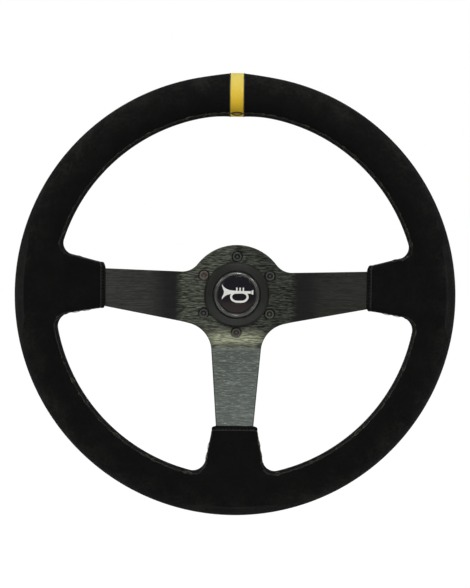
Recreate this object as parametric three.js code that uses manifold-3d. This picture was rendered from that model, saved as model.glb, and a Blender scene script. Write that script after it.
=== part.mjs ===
// A deep-dish three-spoke steering wheel on a ball-lock quick release.
// Millimetres. The pieces are drawn as the driver sees them: x to the right, y up and z towards the driver,
// with z = 0 on the face that bolts to the steering column's boss. The whole group is turned at the end, so
// that the steering axis lies along Y and +Z is up.
// The quick release is drawn with its collar pulled towards the driver, so that the lock balls are free.
import * as THREE from "three";
import { mergeVertices } from "three/addons/utils/BufferGeometryUtils.js";
import Module from "manifold-3d";

const wasm = await Module();
wasm.setup();

// ---- Driving dimensions ----
const GAP = 0.3; // clearance between pieces that touch
const ROUND = 24; // segments of a turned piece
const SMALL_ROUND = 8; // segments of a screw, a rivet or a ball hole
const WIDE = 400; // longer than the whole wheel, for cutting blocks

// Rim: a steel tube in foam under suede.
const RIM_RADIUS = 159.7; // of the circle through the middle of the grip
const RIM_HALF_WIDTH = 15.3; // of the grip's section, in the wheel's plane
const RIM_HALF_DEPTH = 14; // of the grip's section, along the axis
const RIM_SEGMENTS = 40;
const SECTION_POINTS = 10;
const SUEDE = 1.3;
const TUBE_RADIUS = 6;
const TUBE_POINTS = 8;
const MARKER_WIDTH = 10.6;
const MARKER_THICKNESS = 0.8;
const SUEDE_SEAMS = [90, 215, 325]; // degrees, where two lengths of suede meet

// Spoke plate: one bent sheet. The spokes leave a flat middle and slope forward to the rim.
const PLATE_REAR = 56;
const PLATE_THICKNESS = 4.5;
const PLATE_MIDDLE = PLATE_REAR + PLATE_THICKNESS / 2;
const PLATE_FRONT = PLATE_REAR + PLATE_THICKNESS;
const DISH = 90; // from the plate's rear face to the front of the grip
const RIM_PLANE = PLATE_REAR + DISH - RIM_HALF_DEPTH;
const PLATE_DISC = 45.6; // radius of the flat middle
const BEND = 50; // distance from the axis to a spoke's bend
const BEND_RADIUS = 12;
const SLOPE = Math.atan2(RIM_PLANE - PLATE_MIDDLE, RIM_RADIUS - BEND);
const SPOKE_END = 150;
const SPOKE_HALF_WIDTH = 22.9; // at the bend
const SPOKE_TAPER = 0.112; // half width lost for each mm outwards
const SIDE_MIDDLE = -2.2; // height of a side spoke's centre line at the bend
const SIDE_LEAN = 0.1365; // height gained for each mm outwards
const UPPER_FILLET = 18;
const LOWER_FILLET = 27;
const HORN_BORE = 25.3;

// Six screws on a 70 mm circle hold the plate on the coupler, and the column hub on its boss.
const BOLT_CIRCLE = 35;
const SCREW_COUNT = 6;
const SCREW_RADIUS = 2.2;
const SCREW_HEAD = 4.75;
const SCREW_HEAD_HEIGHT = SCREW_HEAD - SCREW_RADIUS;
const SOCKET_RADIUS = 2.1;
const SOCKET_DEPTH = 2;

// Sleeves: the foam and suede that run from the rim on to each spoke.
const SLEEVE_START = 112.7;
const SLEEVE_HALF_DEPTH = 6;
const SLEEVE_DEEPENING = 0.1; // half depth gained for each mm outwards
const SLEEVE_FILLET = 12; // into the rim's inner edge

// Each lug is welded to the rim's tube and riveted behind a spoke.
const LUG_THICKNESS = 2;
const LUG_START = 128;
const LUG_HALF_WIDTH = 10.5;
const RIVET_DISTANCE = 140;
const RIVET_SPACING = 5.5; // either side of the spoke's centre line
const RIVET_RADIUS = 2;
const RIVET_HEAD = 3.6;
const RIVET_FRONT = 1.4; // thickness of the head on the spoke
const RIVET_REAR = 1;

// Quick release. Heights are z.
const HUB_FLANGE = 42;
const HUB_FLANGE_THICKNESS = 8;
const HUB_BORE = 12;
const SPIGOT = 18.7;
const SPIGOT_END = 40;
const SPLINE_START = 24;
const SPLINE_TEETH = 12;
const SPLINE_WIDTH = 4.6;
const SPLINE_ROOT = 16.4;
const COUPLER_BORE = 19.1;
const COUPLER_TUBE = 24.5;
const COUPLER_START = HUB_FLANGE_THICKNESS + GAP;
const COUPLER_NECK = 30.5;
const NECK_START = 42;
const POCKET = 26; // radius of the horn's pocket in the coupler
const POCKET_FLOOR = 45;
const COUPLER_FLANGE_START = 50;
const COUPLER_FRONT = PLATE_REAR - GAP;
const BALL_COUNT = 6;
const BALL_RADIUS = 3.5;
const BALL_HEIGHT = 20;
const BALL_LOCKED = 21; // from the axis to a ball's centre
const BALL_TRAVEL = 1.6;
const BALL_FREE = BALL_LOCKED + BALL_TRAVEL;
const BALL_HOLE = 4;
const COLLAR_TRAVEL = 7;
const COLLAR_LAND = 24.9; // the collar's bore where it holds the balls in
const COLLAR_CONE = BALL_TRAVEL / COLLAR_TRAVEL;
const COLLAR_OUTER = 35;
const COLLAR_START = 18;
const COLLAR_END = COUPLER_FLANGE_START - 0.5;
const COLLAR_WAIST = 32.8;
const SPRING_CHAMBER = 31;
const SPRING_SHOULDER = 34;
const COLLAR_SPRING = { radius: 27.8, wire: 0.75, turns: 3, stepsPerTurn: 14 };
const BALL_GROOVE_DEPTH = 1.6;
const BALL_GROOVE_FLOOR = 1.1; // half width of the groove's floor
const BALL_GROOVE_MOUTH = 3.2; // half width of the groove's mouth
const CIRCLIP_START = 9.3;
const CIRCLIP_THICKNESS = 1.1;
const CIRCLIP_INNER = 23.9;
const CIRCLIP_OUTER = 27.2;

// Horn button.
const TRIM_OUTER = 29.5;
const TRIM_INNER = 21.4;
const CUP_OUTER = HORN_BORE - GAP;
const CUP_INNER = 23.4;
const TRIM_REAR = PLATE_FRONT + GAP;
const BASE_THICKNESS = 2;
const BASE_TOP = POCKET_FLOOR + GAP + BASE_THICKNESS;
const CAP_OUTER = TRIM_INNER - GAP;
const LENS_RADIUS = 17;
const CAP_FLOOR = 59;
const LENS_REAR = 62.2;
const CONTACT_PLATE = { inner: 12, outer: 21, drop: 6.3, thickness: 1 }; // on the cap's legs, below its floor
const CONTACT_RING = { inner: 13, outer: 18, thickness: 2 };
const HORN_SPRING = { radius: 8.5, wire: 0.6, turns: 4, stepsPerTurn: 10 };
const TERMINAL_OFFSET = 11;
const TERMINAL = { thickness: 0.8, width: 6.3, length: 6 };

// ---- Materials ----
const finish = (color, roughness, metalness) =>
  new THREE.MeshStandardMaterial({ color, roughness, metalness });
const finishes = {
  suede: [0x16150f, 0.95, 0],
  marker: [0xd8b93a, 0.8, 0],
  foam: [0x2a2a2a, 0.9, 0],
  brushed: [0x3a3d38, 0.42, 0.9],
  anodised: [0x1b1c1d, 0.35, 0.9],
  blackSteel: [0x26262a, 0.4, 0.9],
  brightSteel: [0xa9abad, 0.25, 1],
  blackPlastic: [0x232422, 0.5, 0],
  satin: [0x3c403c, 0.4, 0.4],
  gloss: [0x0a0a0c, 0.12, 0],
  brass: [0xb08d45, 0.35, 1],
  print: [0x17151c, 0.4, 0],
};

// ---- Solids ----
// A closed three.js geometry as a solid that can be cut and joined.
function solid(geometry) {
  const bare = geometry.index ? geometry.toNonIndexed() : geometry.clone();
  bare.deleteAttribute("normal");
  bare.deleteAttribute("uv");
  const merged = mergeVertices(bare, 1e-4);
  const vertProperties = merged.attributes.position.array;
  const triVerts = new Uint32Array(merged.index.array);
  return new wasm.Manifold(new wasm.Mesh({ numProp: 3, vertProperties, triVerts }));
}

// A solid's faces as a three.js geometry.
function geometryOf(body) {
  const { numProp, numVert, vertProperties, triVerts } = body.getMesh();
  const positions = new Float32Array(numVert * 3);
  for (let i = 0; i < numVert; i++) {
    positions.set(vertProperties.subarray(i * numProp, i * numProp + 3), i * 3);
  }
  const geometry = new THREE.BufferGeometry();
  geometry.setAttribute("position", new THREE.BufferAttribute(positions, 3));
  geometry.setIndex(new THREE.BufferAttribute(triVerts, 1));
  geometry.computeVertexNormals();
  return geometry;
}

// A solid of revolution about the z axis, from a section of [radius, z] points. A section that touches the
// axis starts and ends on it, and any other closes on itself.
function turned(section, segments = ROUND) {
  const points = section.map(([radius, z]) => new THREE.Vector2(radius, z));
  if (points[0].x > 0) points.push(points[0].clone());
  const outwards = THREE.ShapeUtils.area(points) > 0;
  if (!outwards) points.reverse();
  return solid(new THREE.LatheGeometry(points, segments).rotateX(Math.PI / 2));
}

function rod(radius, from, to, segments = SMALL_ROUND) {
  return turned([[0, from], [radius, from], [radius, to], [0, to]], segments);
}

function ring(inner, outer, from, to, segments = ROUND) {
  return turned([[inner, from], [outer, from], [outer, to], [inner, to]], segments);
}

function block(width, height, depth, x, y, z) {
  return solid(new THREE.BoxGeometry(width, height, depth).translate(x, y, z));
}

// An outline extruded along z.
function extruded(points, from, to) {
  const shape = new THREE.Shape(points.map(([x, y]) => new THREE.Vector2(x, y)));
  const geometry = new THREE.ExtrudeGeometry(shape, { depth: to - from, bevelEnabled: false });
  return solid(geometry.translate(0, 0, from));
}

// An outline of [distance from the axis, z] points, drawn out sideways across a spoke that points along +x.
function profiled(points, halfWidth) {
  return extruded(points, -halfWidth, halfWidth).rotate([90, 0, 0]);
}

const turnedBy = (body, degrees) => body.rotate([0, 0, degrees]);
const joined = (bodies) => bodies.reduce((all, body) => all.add(body));

// Copies of a piece standing on +x, spread round the axis.
function around(body, count, start = 0) {
  return Array.from({ length: count }, (_, i) => turnedBy(body, start + (i * 360) / count));
}

// ---- Outlines ----
// A straight edge moved sideways: to its left where `aside` is positive.
function edge(from, to, aside) {
  const length = Math.hypot(to[0] - from[0], to[1] - from[1]);
  const direction = [(to[0] - from[0]) / length, (to[1] - from[1]) / length];
  const point = [from[0] - direction[1] * aside, from[1] + direction[0] * aside];
  return { point, direction };
}

function crossing(a, b) {
  const dx = b.point[0] - a.point[0];
  const dy = b.point[1] - a.point[1];
  const turning = a.direction[0] * b.direction[1] - a.direction[1] * b.direction[0];
  const along = (dx * b.direction[1] - dy * b.direction[0]) / turning;
  return [a.point[0] + a.direction[0] * along, a.point[1] + a.direction[1] * along];
}

// Where an edge leaves the circle of this radius round the axis.
function leavingCircle({ point, direction }, radius) {
  const b = point[0] * direction[0] + point[1] * direction[1];
  const along = -b + Math.sqrt(b * b - point[0] ** 2 - point[1] ** 2 + radius * radius);
  return [point[0] + direction[0] * along, point[1] + direction[1] * along];
}

const bearing = (from, to) => Math.atan2(to[1] - from[1], to[0] - from[0]);

function arc(centre, radius, from, to, steps) {
  return Array.from({ length: steps + 1 }, (_, i) => {
    const angle = from + ((to - from) * i) / steps;
    return [centre[0] + radius * Math.cos(angle), centre[1] + radius * Math.sin(angle)];
  });
}

// ---- Spokes ----
// Each spoke is drawn along +x and then turned. `up` is the sense of its lean once it is turned.
const SIDE_SLEEVE = { middle: 7.9, drift: 0.06, half: 19, flare: 0.22 };
const BOTTOM_SLEEVE = { middle: 0, drift: 0, half: 19, flare: 0.2 };
const SPOKES = [
  { name: "right", turn: 0, up: 1, sleeve: SIDE_SLEEVE },
  { name: "left", turn: 180, up: -1, sleeve: SIDE_SLEEVE },
  { name: "bottom", turn: -90, up: 0, sleeve: BOTTOM_SLEEVE },
];

const spokeHalfWidth = (p) => SPOKE_HALF_WIDTH - SPOKE_TAPER * (p - BEND);
const spokeMiddle = (p, up) => up * (SIDE_MIDDLE + SIDE_LEAN * (p - BEND));
const spokeHeight = (p) => PLATE_MIDDLE + Math.tan(SLOPE) * (p - BEND);

// The point `aside` in front of a spoke's middle surface, square to its slope.
function aboveSpoke(p, aside) {
  return [p - aside * Math.sin(SLOPE), spokeHeight(p) + aside * Math.cos(SLOPE)];
}

// The points that run beside the spoke plate's middle surface, `aside` in front of it, along one spoke.
function besideSpoke(aside, end) {
  const setback = BEND_RADIUS * Math.tan(SLOPE / 2);
  const centre = [BEND - setback, PLATE_MIDDLE + BEND_RADIUS];
  const bend = arc(centre, BEND_RADIUS - aside, -Math.PI / 2, SLOPE - Math.PI / 2, 4);
  return [[0, PLATE_MIDDLE + aside], ...bend, aboveSpoke(end, aside)];
}

// A bar that follows a spoke's slope from one distance to another, between two offsets from its middle.
function slopingBar(from, to, rear, front, halfWidth) {
  const lower = [aboveSpoke(from, rear), aboveSpoke(to, rear)];
  const upper = [aboveSpoke(to, front), aboveSpoke(from, front)];
  return profiled([...lower, ...upper], halfWidth);
}

// The plate's outline, grown by `grow`: the right half from the top to the bottom, and its mirror image.
function plateOutline(grow) {
  const disc = PLATE_DISC + grow;
  const upper = UPPER_FILLET - grow;
  const lower = LOWER_FILLET - grow;
  const end = SPOKE_END + grow;
  const side = (p, sign) => [p, spokeMiddle(p, 1) + sign * (spokeHalfWidth(p) + grow)];
  const foot = (p) => [spokeHalfWidth(p) + grow, -p];

  const over = edge(side(BEND, 1), side(end, 1), upper);
  const under = edge(side(BEND, -1), side(end, -1), -lower);
  const beside = edge(foot(BEND), foot(end), lower);
  const upperCentre = leavingCircle(over, disc + upper);
  const lowerCentre = crossing(under, beside);
  const heading = ({ direction }) => Math.atan2(direction[1], direction[0]);
  const quarter = Math.PI / 2;
  const right = [
    ...arc([0, 0], disc, quarter, bearing([0, 0], upperCentre), 7),
    ...arc(upperCentre, upper, bearing(upperCentre, [0, 0]), heading(over) - quarter, 3).slice(1),
    side(end, 1),
    side(end, -1),
    ...arc(lowerCentre, lower, heading(under) + quarter, heading(beside) + 3 * quarter, 6),
    foot(end),
  ];
  const left = right.slice(1).reverse().map(([x, y]) => [-x, y]);
  return [...right, ...left];
}

// The bent plate without holes. The side spokes are bent about upright lines and the bottom one about a
// level line.
function bentPlate(grow) {
  const thickness = PLATE_THICKNESS / 2 + grow;
  const end = SPOKE_END + 20;
  const front = besideSpoke(thickness, end);
  const rear = besideSpoke(-thickness, end).reverse();
  const oneSpoke = [...front, ...rear];
  const flat = BEND - BEND_RADIUS * Math.tan(SLOPE / 2) - 0.2;
  const outline = extruded(plateOutline(grow), 0, WIDE);
  const pastEnd = slopingBar(SPOKE_END + grow, end + 5, -2 * PLATE_THICKNESS, 2 * PLATE_THICKNESS, WIDE);
  const lowerHalf = profiled(oneSpoke, flat).subtract(pastEnd);
  const rightHalf = profiled(oneSpoke, WIDE).subtract(pastEnd);
  const belowFlat = block(WIDE, WIDE, WIDE, 0, -flat - WIDE / 2, WIDE / 2);
  const sides = joined([rightHalf, turnedBy(rightHalf, 180)]).subtract(belowFlat);
  return joined([sides, turnedBy(lowerHalf, -90)]).intersect(outline);
}

// ---- Rim ----
const IN_RIM_PLANE = [0, 0, RIM_PLANE];

function rimRing(halfWidth, halfDepth, points = SECTION_POINTS) {
  const section = Array.from({ length: points }, (_, i) => {
    const angle = (i * 2 * Math.PI) / points;
    return [RIM_RADIUS + halfWidth * Math.cos(angle), halfDepth * Math.sin(angle)];
  });
  return turned(section, RIM_SEGMENTS).translate(IN_RIM_PLANE);
}

// The shape of a sleeve, shrunk by `inset`, from a distance from the axis to the middle of the rim.
function sleeve({ turn, up, sleeve: { middle, drift, half, flare } }, inset, from) {
  const inner = RIM_RADIUS - RIM_HALF_WIDTH;
  const radius = SLEEVE_FILLET + inset;
  const sideAt = (p, sign) => {
    const along = p - SLEEVE_START;
    return [p, (up || 1) * (middle + drift * along) + sign * (half + flare * along - inset)];
  };
  const filleted = (sign) => {
    const start = sideAt(from, sign);
    const far = sideAt(RIM_RADIUS, sign);
    const centre = leavingCircle(edge(start, far, sign * radius), inner + inset - radius);
    const along = bearing(start, far);
    const last = bearing([0, 0], centre) - (sign * inset) / radius;
    return [start, ...arc(centre, radius, along - (sign * Math.PI) / 2, last, 4)];
  };
  const upper = filleted(1);
  const lower = filleted(-1);
  const reach = (points) => bearing([0, 0], points[points.length - 1]);
  const far = arc([0, 0], RIM_RADIUS - inset, reach(lower), reach(upper), 6);
  const outline = extruded([...lower, ...far, ...upper.reverse()], 0, WIDE);
  const depthAt = (p) => SLEEVE_HALF_DEPTH + SLEEVE_DEEPENING * (p - SLEEVE_START) - inset;
  const corner = (p, sign) => aboveSpoke(p, sign * depthAt(p));
  const end = RIM_RADIUS + 3;
  const corners = [corner(from, -1), corner(end, -1), corner(end, 1), corner(from, 1)];
  const profile = profiled(corners, WIDE);
  return turnedBy(profile.intersect(outline), turn);
}

// The rim and its three sleeves as one form, `inset` inside the suede's outer surface.
function gripForm(inset, from) {
  const rim = rimRing(RIM_HALF_WIDTH - inset, RIM_HALF_DEPTH - inset);
  return joined([rim, ...SPOKES.map((spoke) => sleeve(spoke, inset, from))]);
}

// A spoke's lug or rivets stand where its centre line is at the rivets.
function onSpoke(body, { turn, up }) {
  return turnedBy(body.translate([0, spokeMiddle(RIVET_DISTANCE, up), 0]), turn);
}

const LUG_FRONT = -PLATE_THICKNESS / 2 - GAP;
const LUG_REAR = LUG_FRONT - LUG_THICKNESS;

function rimArmature() {
  const tube = rimRing(TUBE_RADIUS, TUBE_RADIUS, TUBE_POINTS);
  const lug = slopingBar(LUG_START, RIM_RADIUS - 1, LUG_REAR, LUG_FRONT, LUG_HALF_WIDTH);
  const hole = spokeRivet(RIVET_RADIUS + GAP, 0);
  const holes = [1, -1].map((sign) => hole.translate([0, sign * RIVET_SPACING, 0]));
  const lugs = SPOKES.map((spoke) => onSpoke(lug.subtract(joined(holes)), spoke));
  return joined([tube, ...lugs]);
}

// A rivet square to the slope of a spoke: its shank, and its two heads where they have a radius.
function spokeRivet(shank, head) {
  const front = PLATE_THICKNESS / 2 + GAP;
  const rear = LUG_REAR - GAP;
  const pin = rod(shank, rear - RIVET_REAR, front + RIVET_FRONT);
  const heads = head
    ? [rod(head, front, front + RIVET_FRONT), rod(head, rear - RIVET_REAR, rear)]
    : [];
  const leaning = joined([pin, ...heads]).rotate([0, -THREE.MathUtils.radToDeg(SLOPE), 0]);
  return leaning.translate([RIVET_DISTANCE, 0, spokeHeight(RIVET_DISTANCE)]);
}

function gripFoam() {
  const inset = SUEDE + GAP;
  const pocket = slopingBar(LUG_START - GAP, RIM_RADIUS - 1, LUG_REAR - RIVET_REAR - 2 * GAP,
    PLATE_THICKNESS / 2 + RIVET_FRONT + 2 * GAP, LUG_HALF_WIDTH + GAP);
  const tubeSpace = rimRing(TUBE_RADIUS + GAP, TUBE_RADIUS + GAP, TUBE_POINTS);
  const pockets = SPOKES.map((spoke) => onSpoke(pocket, spoke));
  return gripForm(inset, SLEEVE_START + GAP).subtract(joined([tubeSpace, bentPlate(GAP), ...pockets]));
}

// One length of suede, between two seams.
function suedeLength(shell, from, to) {
  const wedge = [[0, 0]];
  const steps = 4;
  const seam = GAP / 2 / RIM_RADIUS;
  const start = THREE.MathUtils.degToRad(from) + seam;
  const end = THREE.MathUtils.degToRad(to) - seam;
  return shell.intersect(extruded([...wedge, ...arc([0, 0], WIDE, start, end, steps)], 0, WIDE));
}

function centreMarker() {
  const outer = GAP + MARKER_THICKNESS;
  const band = rimRing(RIM_HALF_WIDTH + outer, RIM_HALF_DEPTH + outer);
  const hollow = rimRing(RIM_HALF_WIDTH + GAP, RIM_HALF_DEPTH + GAP);
  return band.subtract(hollow).intersect(block(MARKER_WIDTH, WIDE, WIDE, 0, WIDE / 2, 0));
}

// ---- Screws and springs ----
const screwHole = (radius, from, to) => rod(radius, from, to).translate([BOLT_CIRCLE, 0, 0]);

function countersink(face, towards) {
  const top = SCREW_HEAD + GAP;
  const depth = top - SCREW_RADIUS;
  const section = [[0, 0], [SCREW_RADIUS, 0], [top, depth], [top, depth + 1], [0, depth + 1]];
  const cut = turned(section, SMALL_ROUND).translate([BOLT_CIRCLE, 0, face - depth]);
  return cut.add(screwHole(SCREW_RADIUS + GAP, towards, face));
}

function wheelScrew(front, tip) {
  const head = front - SCREW_HEAD_HEIGHT;
  const section = [[0, tip], [SCREW_RADIUS, tip], [SCREW_RADIUS, head], [SCREW_HEAD, front], [0, front]];
  const socket = rod(SOCKET_RADIUS, front - SOCKET_DEPTH, front + 1, 6);
  return turned(section, SMALL_ROUND).subtract(socket).translate([BOLT_CIRCLE, 0, 0]);
}

class Helix extends THREE.Curve {
  constructor(radius, from, to, turns) {
    super();
    Object.assign(this, { radius, from, to, turns });
  }

  getPoint(t) {
    const angle = t * this.turns * 2 * Math.PI;
    const z = this.from + (this.to - this.from) * t;
    return new THREE.Vector3(this.radius * Math.cos(angle), this.radius * Math.sin(angle), z);
  }
}

// A coil spring of round wire that fills the space between two faces.
function coilSpring({ radius, wire, turns, stepsPerTurn }, from, to) {
  const round = arc([0, 0], wire, 0, 2 * Math.PI, 6).slice(1);
  const section = new THREE.Shape(round.map(([x, y]) => new THREE.Vector2(x, y)));
  const path = new Helix(radius, from + wire, to - wire, turns);
  const steps = turns * stepsPerTurn;
  return solid(new THREE.ExtrudeGeometry(section, { steps, extrudePath: path }));
}

// ---- Quick release ----
function columnHub() {
  const grooveRadius = SPIGOT - BALL_GROOVE_DEPTH;
  const section = [
    [HUB_BORE, 0], [HUB_FLANGE, 0],
    [HUB_FLANGE, HUB_FLANGE_THICKNESS - 1], [HUB_FLANGE - 1, HUB_FLANGE_THICKNESS],
    [SPIGOT, HUB_FLANGE_THICKNESS], [SPIGOT, BALL_HEIGHT - BALL_GROOVE_MOUTH],
    [grooveRadius, BALL_HEIGHT - BALL_GROOVE_FLOOR], [grooveRadius, BALL_HEIGHT + BALL_GROOVE_FLOOR],
    [SPIGOT, BALL_HEIGHT + BALL_GROOVE_MOUTH], [SPIGOT, SPIGOT_END - 1.5],
    [SPIGOT - 1.5, SPIGOT_END], [HUB_BORE, SPIGOT_END],
  ];
  const length = SPIGOT_END - SPLINE_START + 1;
  const depth = 5;
  const groove = block(depth, SPLINE_WIDTH + 2 * GAP, length,
    SPLINE_ROOT + depth / 2, 0, SPLINE_START + length / 2);
  const holes = around(countersink(HUB_FLANGE_THICKNESS, -1), SCREW_COUNT, 30);
  return turned(section).subtract(joined([...around(groove, SPLINE_TEETH), ...holes]));
}

function couplerBody() {
  const groove = CIRCLIP_INNER - GAP;
  const grooveEnd = CIRCLIP_START + CIRCLIP_THICKNESS + GAP;
  const section = [
    [COUPLER_BORE, COUPLER_START], [COUPLER_TUBE, COUPLER_START], [COUPLER_TUBE, CIRCLIP_START - GAP],
    [groove, CIRCLIP_START - GAP], [groove, grooveEnd], [COUPLER_TUBE, grooveEnd],
    [COUPLER_TUBE, NECK_START], [COUPLER_NECK, NECK_START], [COUPLER_NECK, COUPLER_FLANGE_START],
    [HUB_FLANGE, COUPLER_FLANGE_START], [HUB_FLANGE, COUPLER_FRONT],
    [POCKET, COUPLER_FRONT], [POCKET, POCKET_FLOOR], [COUPLER_BORE, POCKET_FLOOR],
  ];
  const length = SPIGOT_END - SPLINE_START - 2;
  const depth = COUPLER_BORE - SPLINE_ROOT;
  const tooth = block(depth, SPLINE_WIDTH, length, SPLINE_ROOT + 0.5 + depth / 2, 0, SPIGOT_END - length / 2);
  const ballHole = rod(BALL_HOLE, COUPLER_BORE - 3, COUPLER_TUBE + 3, SMALL_ROUND + 2).rotate([0, 90, 0]);
  const holes = [
    ...around(ballHole.translate([0, 0, BALL_HEIGHT]), BALL_COUNT),
    ...around(screwHole(SCREW_RADIUS + GAP, COUPLER_FLANGE_START - 1, PLATE_REAR), SCREW_COUNT, 30),
  ];
  return joined([turned(section), ...around(tooth, SPLINE_TEETH)]).subtract(joined(holes));
}

function releaseCollar() {
  const landStart = BALL_HEIGHT + COLLAR_TRAVEL;
  const mouth = COLLAR_LAND + COLLAR_CONE * (landStart - COLLAR_START);
  return turned([
    [mouth, COLLAR_START], [COLLAR_OUTER - 1, COLLAR_START], [COLLAR_OUTER, COLLAR_START + 1],
    [COLLAR_OUTER, COLLAR_START + 7], [COLLAR_WAIST, COLLAR_START + 10], [COLLAR_WAIST, COLLAR_END - 9],
    [COLLAR_OUTER, COLLAR_END - 6], [COLLAR_OUTER, COLLAR_END - 1], [COLLAR_OUTER - 1, COLLAR_END],
    [SPRING_CHAMBER, COLLAR_END], [SPRING_CHAMBER, SPRING_SHOULDER], [COLLAR_LAND, SPRING_SHOULDER],
    [COLLAR_LAND, landStart],
  ]);
}

function collarCirclip() {
  const opening = block(9, 10, 20, CIRCLIP_OUTER, 0, CIRCLIP_START);
  const whole = ring(CIRCLIP_INNER, CIRCLIP_OUTER, CIRCLIP_START, CIRCLIP_START + CIRCLIP_THICKNESS);
  return turnedBy(whole.subtract(opening), -90);
}

function lockBall() {
  const ball = new THREE.SphereGeometry(BALL_RADIUS, SMALL_ROUND, 6).rotateX(Math.PI / 2);
  return solid(ball).translate([BALL_FREE, 0, BALL_HEIGHT]);
}

// ---- Horn button ----
function hornTrimRing() {
  return turned([
    [CUP_OUTER, BASE_TOP + GAP], [CUP_OUTER, TRIM_REAR], [TRIM_OUTER, TRIM_REAR],
    [TRIM_OUTER, TRIM_REAR + 1.4], [TRIM_OUTER - 0.8, TRIM_REAR + 2.8],
    [TRIM_OUTER - 2.2, TRIM_REAR + 3.5], [TRIM_INNER + 1, TRIM_REAR + 3.5],
    [TRIM_INNER, TRIM_REAR + 2.6], [TRIM_INNER, TRIM_REAR], [CUP_INNER, TRIM_REAR],
    [CUP_INNER, BASE_TOP + GAP],
  ]);
}

function hornButtonCap() {
  const lip = CUP_INNER - 0.5;
  const lipTop = TRIM_REAR - 0.4;
  const recess = LENS_RADIUS + GAP;
  const skirt = CAP_FLOOR - 5;
  return turned([
    [0, CAP_FLOOR], [CAP_OUTER - 3, CAP_FLOOR], [CAP_OUTER - 3, skirt], [CAP_OUTER, skirt],
    [CAP_OUTER, lipTop - 2], [lip, lipTop - 2], [lip, lipTop], [CAP_OUTER, lipTop],
    [CAP_OUTER, TRIM_REAR + 3.6], [CAP_OUTER - 1, TRIM_REAR + 4.6], [recess + 1, TRIM_REAR + 4.8],
    [recess, TRIM_REAR + 4], [recess, CAP_FLOOR + 2], [0, CAP_FLOOR + 2],
  ]);
}

function hornLens() {
  return turned([
    [0, LENS_REAR], [LENS_RADIUS, LENS_REAR], [LENS_RADIUS, LENS_REAR + 1.6],
    [LENS_RADIUS * 0.8, LENS_REAR + 2.4], [LENS_RADIUS * 0.4, LENS_REAR + 2.9], [0, LENS_REAR + 3],
  ]);
}

// The two blades of the horn's terminals, or with `grow` the slots that they stand in.
function terminalBlades(grow) {
  const { thickness, width, length } = TERMINAL;
  return [1, -1].map((sign) => block(thickness + 2 * grow, width + 2 * grow, length,
    sign * TERMINAL_OFFSET, 0, BASE_TOP - length / 2));
}

function hornBase() {
  return rod(CUP_OUTER - 0.1, POCKET_FLOOR + GAP, BASE_TOP, ROUND).subtract(joined(terminalBlades(GAP)));
}

function contactPlate() {
  const { inner, outer, drop, thickness } = CONTACT_PLATE;
  return ring(inner, outer, CAP_FLOOR - drop, CAP_FLOOR - drop + thickness);
}

function contactRing() {
  const { inner, outer, thickness } = CONTACT_RING;
  return ring(inner, outer, BASE_TOP + GAP, BASE_TOP + GAP + thickness);
}

function emblemDisc() {
  return rod(LENS_RADIUS - 0.1, CAP_FLOOR + 2 + GAP, LENS_REAR - GAP, ROUND);
}

// ---- Assembly ----
const group = new THREE.Group();

function piece(name, body, finishName) {
  const mesh = new THREE.Mesh(geometryOf(body), finish(...finishes[finishName]));
  mesh.name = name;
  group.add(mesh);
}

piece("column_hub", columnHub(), "anodised");
piece("coupler_body", couplerBody(), "anodised");
piece("release_collar", releaseCollar(), "anodised");
piece("collar_spring", coilSpring(COLLAR_SPRING, SPRING_SHOULDER + GAP, NECK_START - GAP), "brightSteel");
piece("collar_circlip", collarCirclip(), "blackSteel");
around(lockBall(), BALL_COUNT).forEach((ball, i) => piece(`lock_ball_${i + 1}`, ball, "brightSteel"));

function spokePlate() {
  const screwHoles = around(countersink(PLATE_FRONT, PLATE_REAR - 1), SCREW_COUNT, 30);
  const rivetHole = spokeRivet(RIVET_RADIUS + GAP, 0);
  const rivetHoles = SPOKES.flatMap((spoke) =>
    [1, -1].map((sign) => onSpoke(rivetHole.translate([0, sign * RIVET_SPACING, 0]), spoke)));
  const hornHole = rod(HORN_BORE, PLATE_REAR - 1, PLATE_FRONT + 1, ROUND);
  return bentPlate(0).subtract(joined([hornHole, ...screwHoles, ...rivetHoles]));
}

piece("spoke_plate", spokePlate(), "brushed");
around(wheelScrew(PLATE_FRONT, COUPLER_FLANGE_START + GAP), SCREW_COUNT, 30).forEach((screw, i) =>
  piece(`wheel_screw_${i + 1}`, screw, "blackSteel"));

piece("rim_armature", rimArmature(), "blackSteel");
SPOKES.forEach((spoke) => [1, -1].forEach((sign) => {
  const rivet = spokeRivet(RIVET_RADIUS, RIVET_HEAD).translate([0, sign * RIVET_SPACING, 0]);
  piece(`spoke_rivet_${spoke.name}_${sign > 0 ? 1 : 2}`, onSpoke(rivet, spoke), "brightSteel");
}));
piece("grip_foam", gripFoam(), "foam");
const suede = gripForm(0, SLEEVE_START).subtract(gripForm(SUEDE, SLEEVE_START - 5));
["left", "bottom", "right"].forEach((name, i) => {
  const from = SUEDE_SEAMS[i];
  const to = i < 2 ? SUEDE_SEAMS[i + 1] : SUEDE_SEAMS[0] + 360;
  piece(`suede_${name}`, suedeLength(suede, from, to), "suede");
});
piece("centre_marker", centreMarker(), "marker");

piece("horn_base", hornBase(), "blackPlastic");
terminalBlades(0).forEach((blade, i) => piece(`horn_terminal_${i + 1}`, blade, "brass"));
piece("horn_contact_ring", contactRing(), "brass");
piece("horn_contact_plate", contactPlate(), "brass");
piece("horn_spring", coilSpring(HORN_SPRING, BASE_TOP + GAP, CAP_FLOOR - GAP), "brightSteel");
piece("horn_button_cap", hornButtonCap(), "gloss");
piece("horn_emblem_disc", emblemDisc(), "print");
piece("horn_lens", hornLens(), "gloss");
piece("horn_trim_ring", hornTrimRing(), "satin");

group.rotation.x = Math.PI / 2;

export default group;
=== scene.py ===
"""The looks of a deep-dish steering wheel on a ball-lock quick release.

Meshes are drawn in millimetres as the driver sees the wheel: x to the right, y up, z towards the driver,
with z = 0 on the face that bolts to the column's boss. `placed` turns them into the row frame, in metres.
"""
import math

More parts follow.
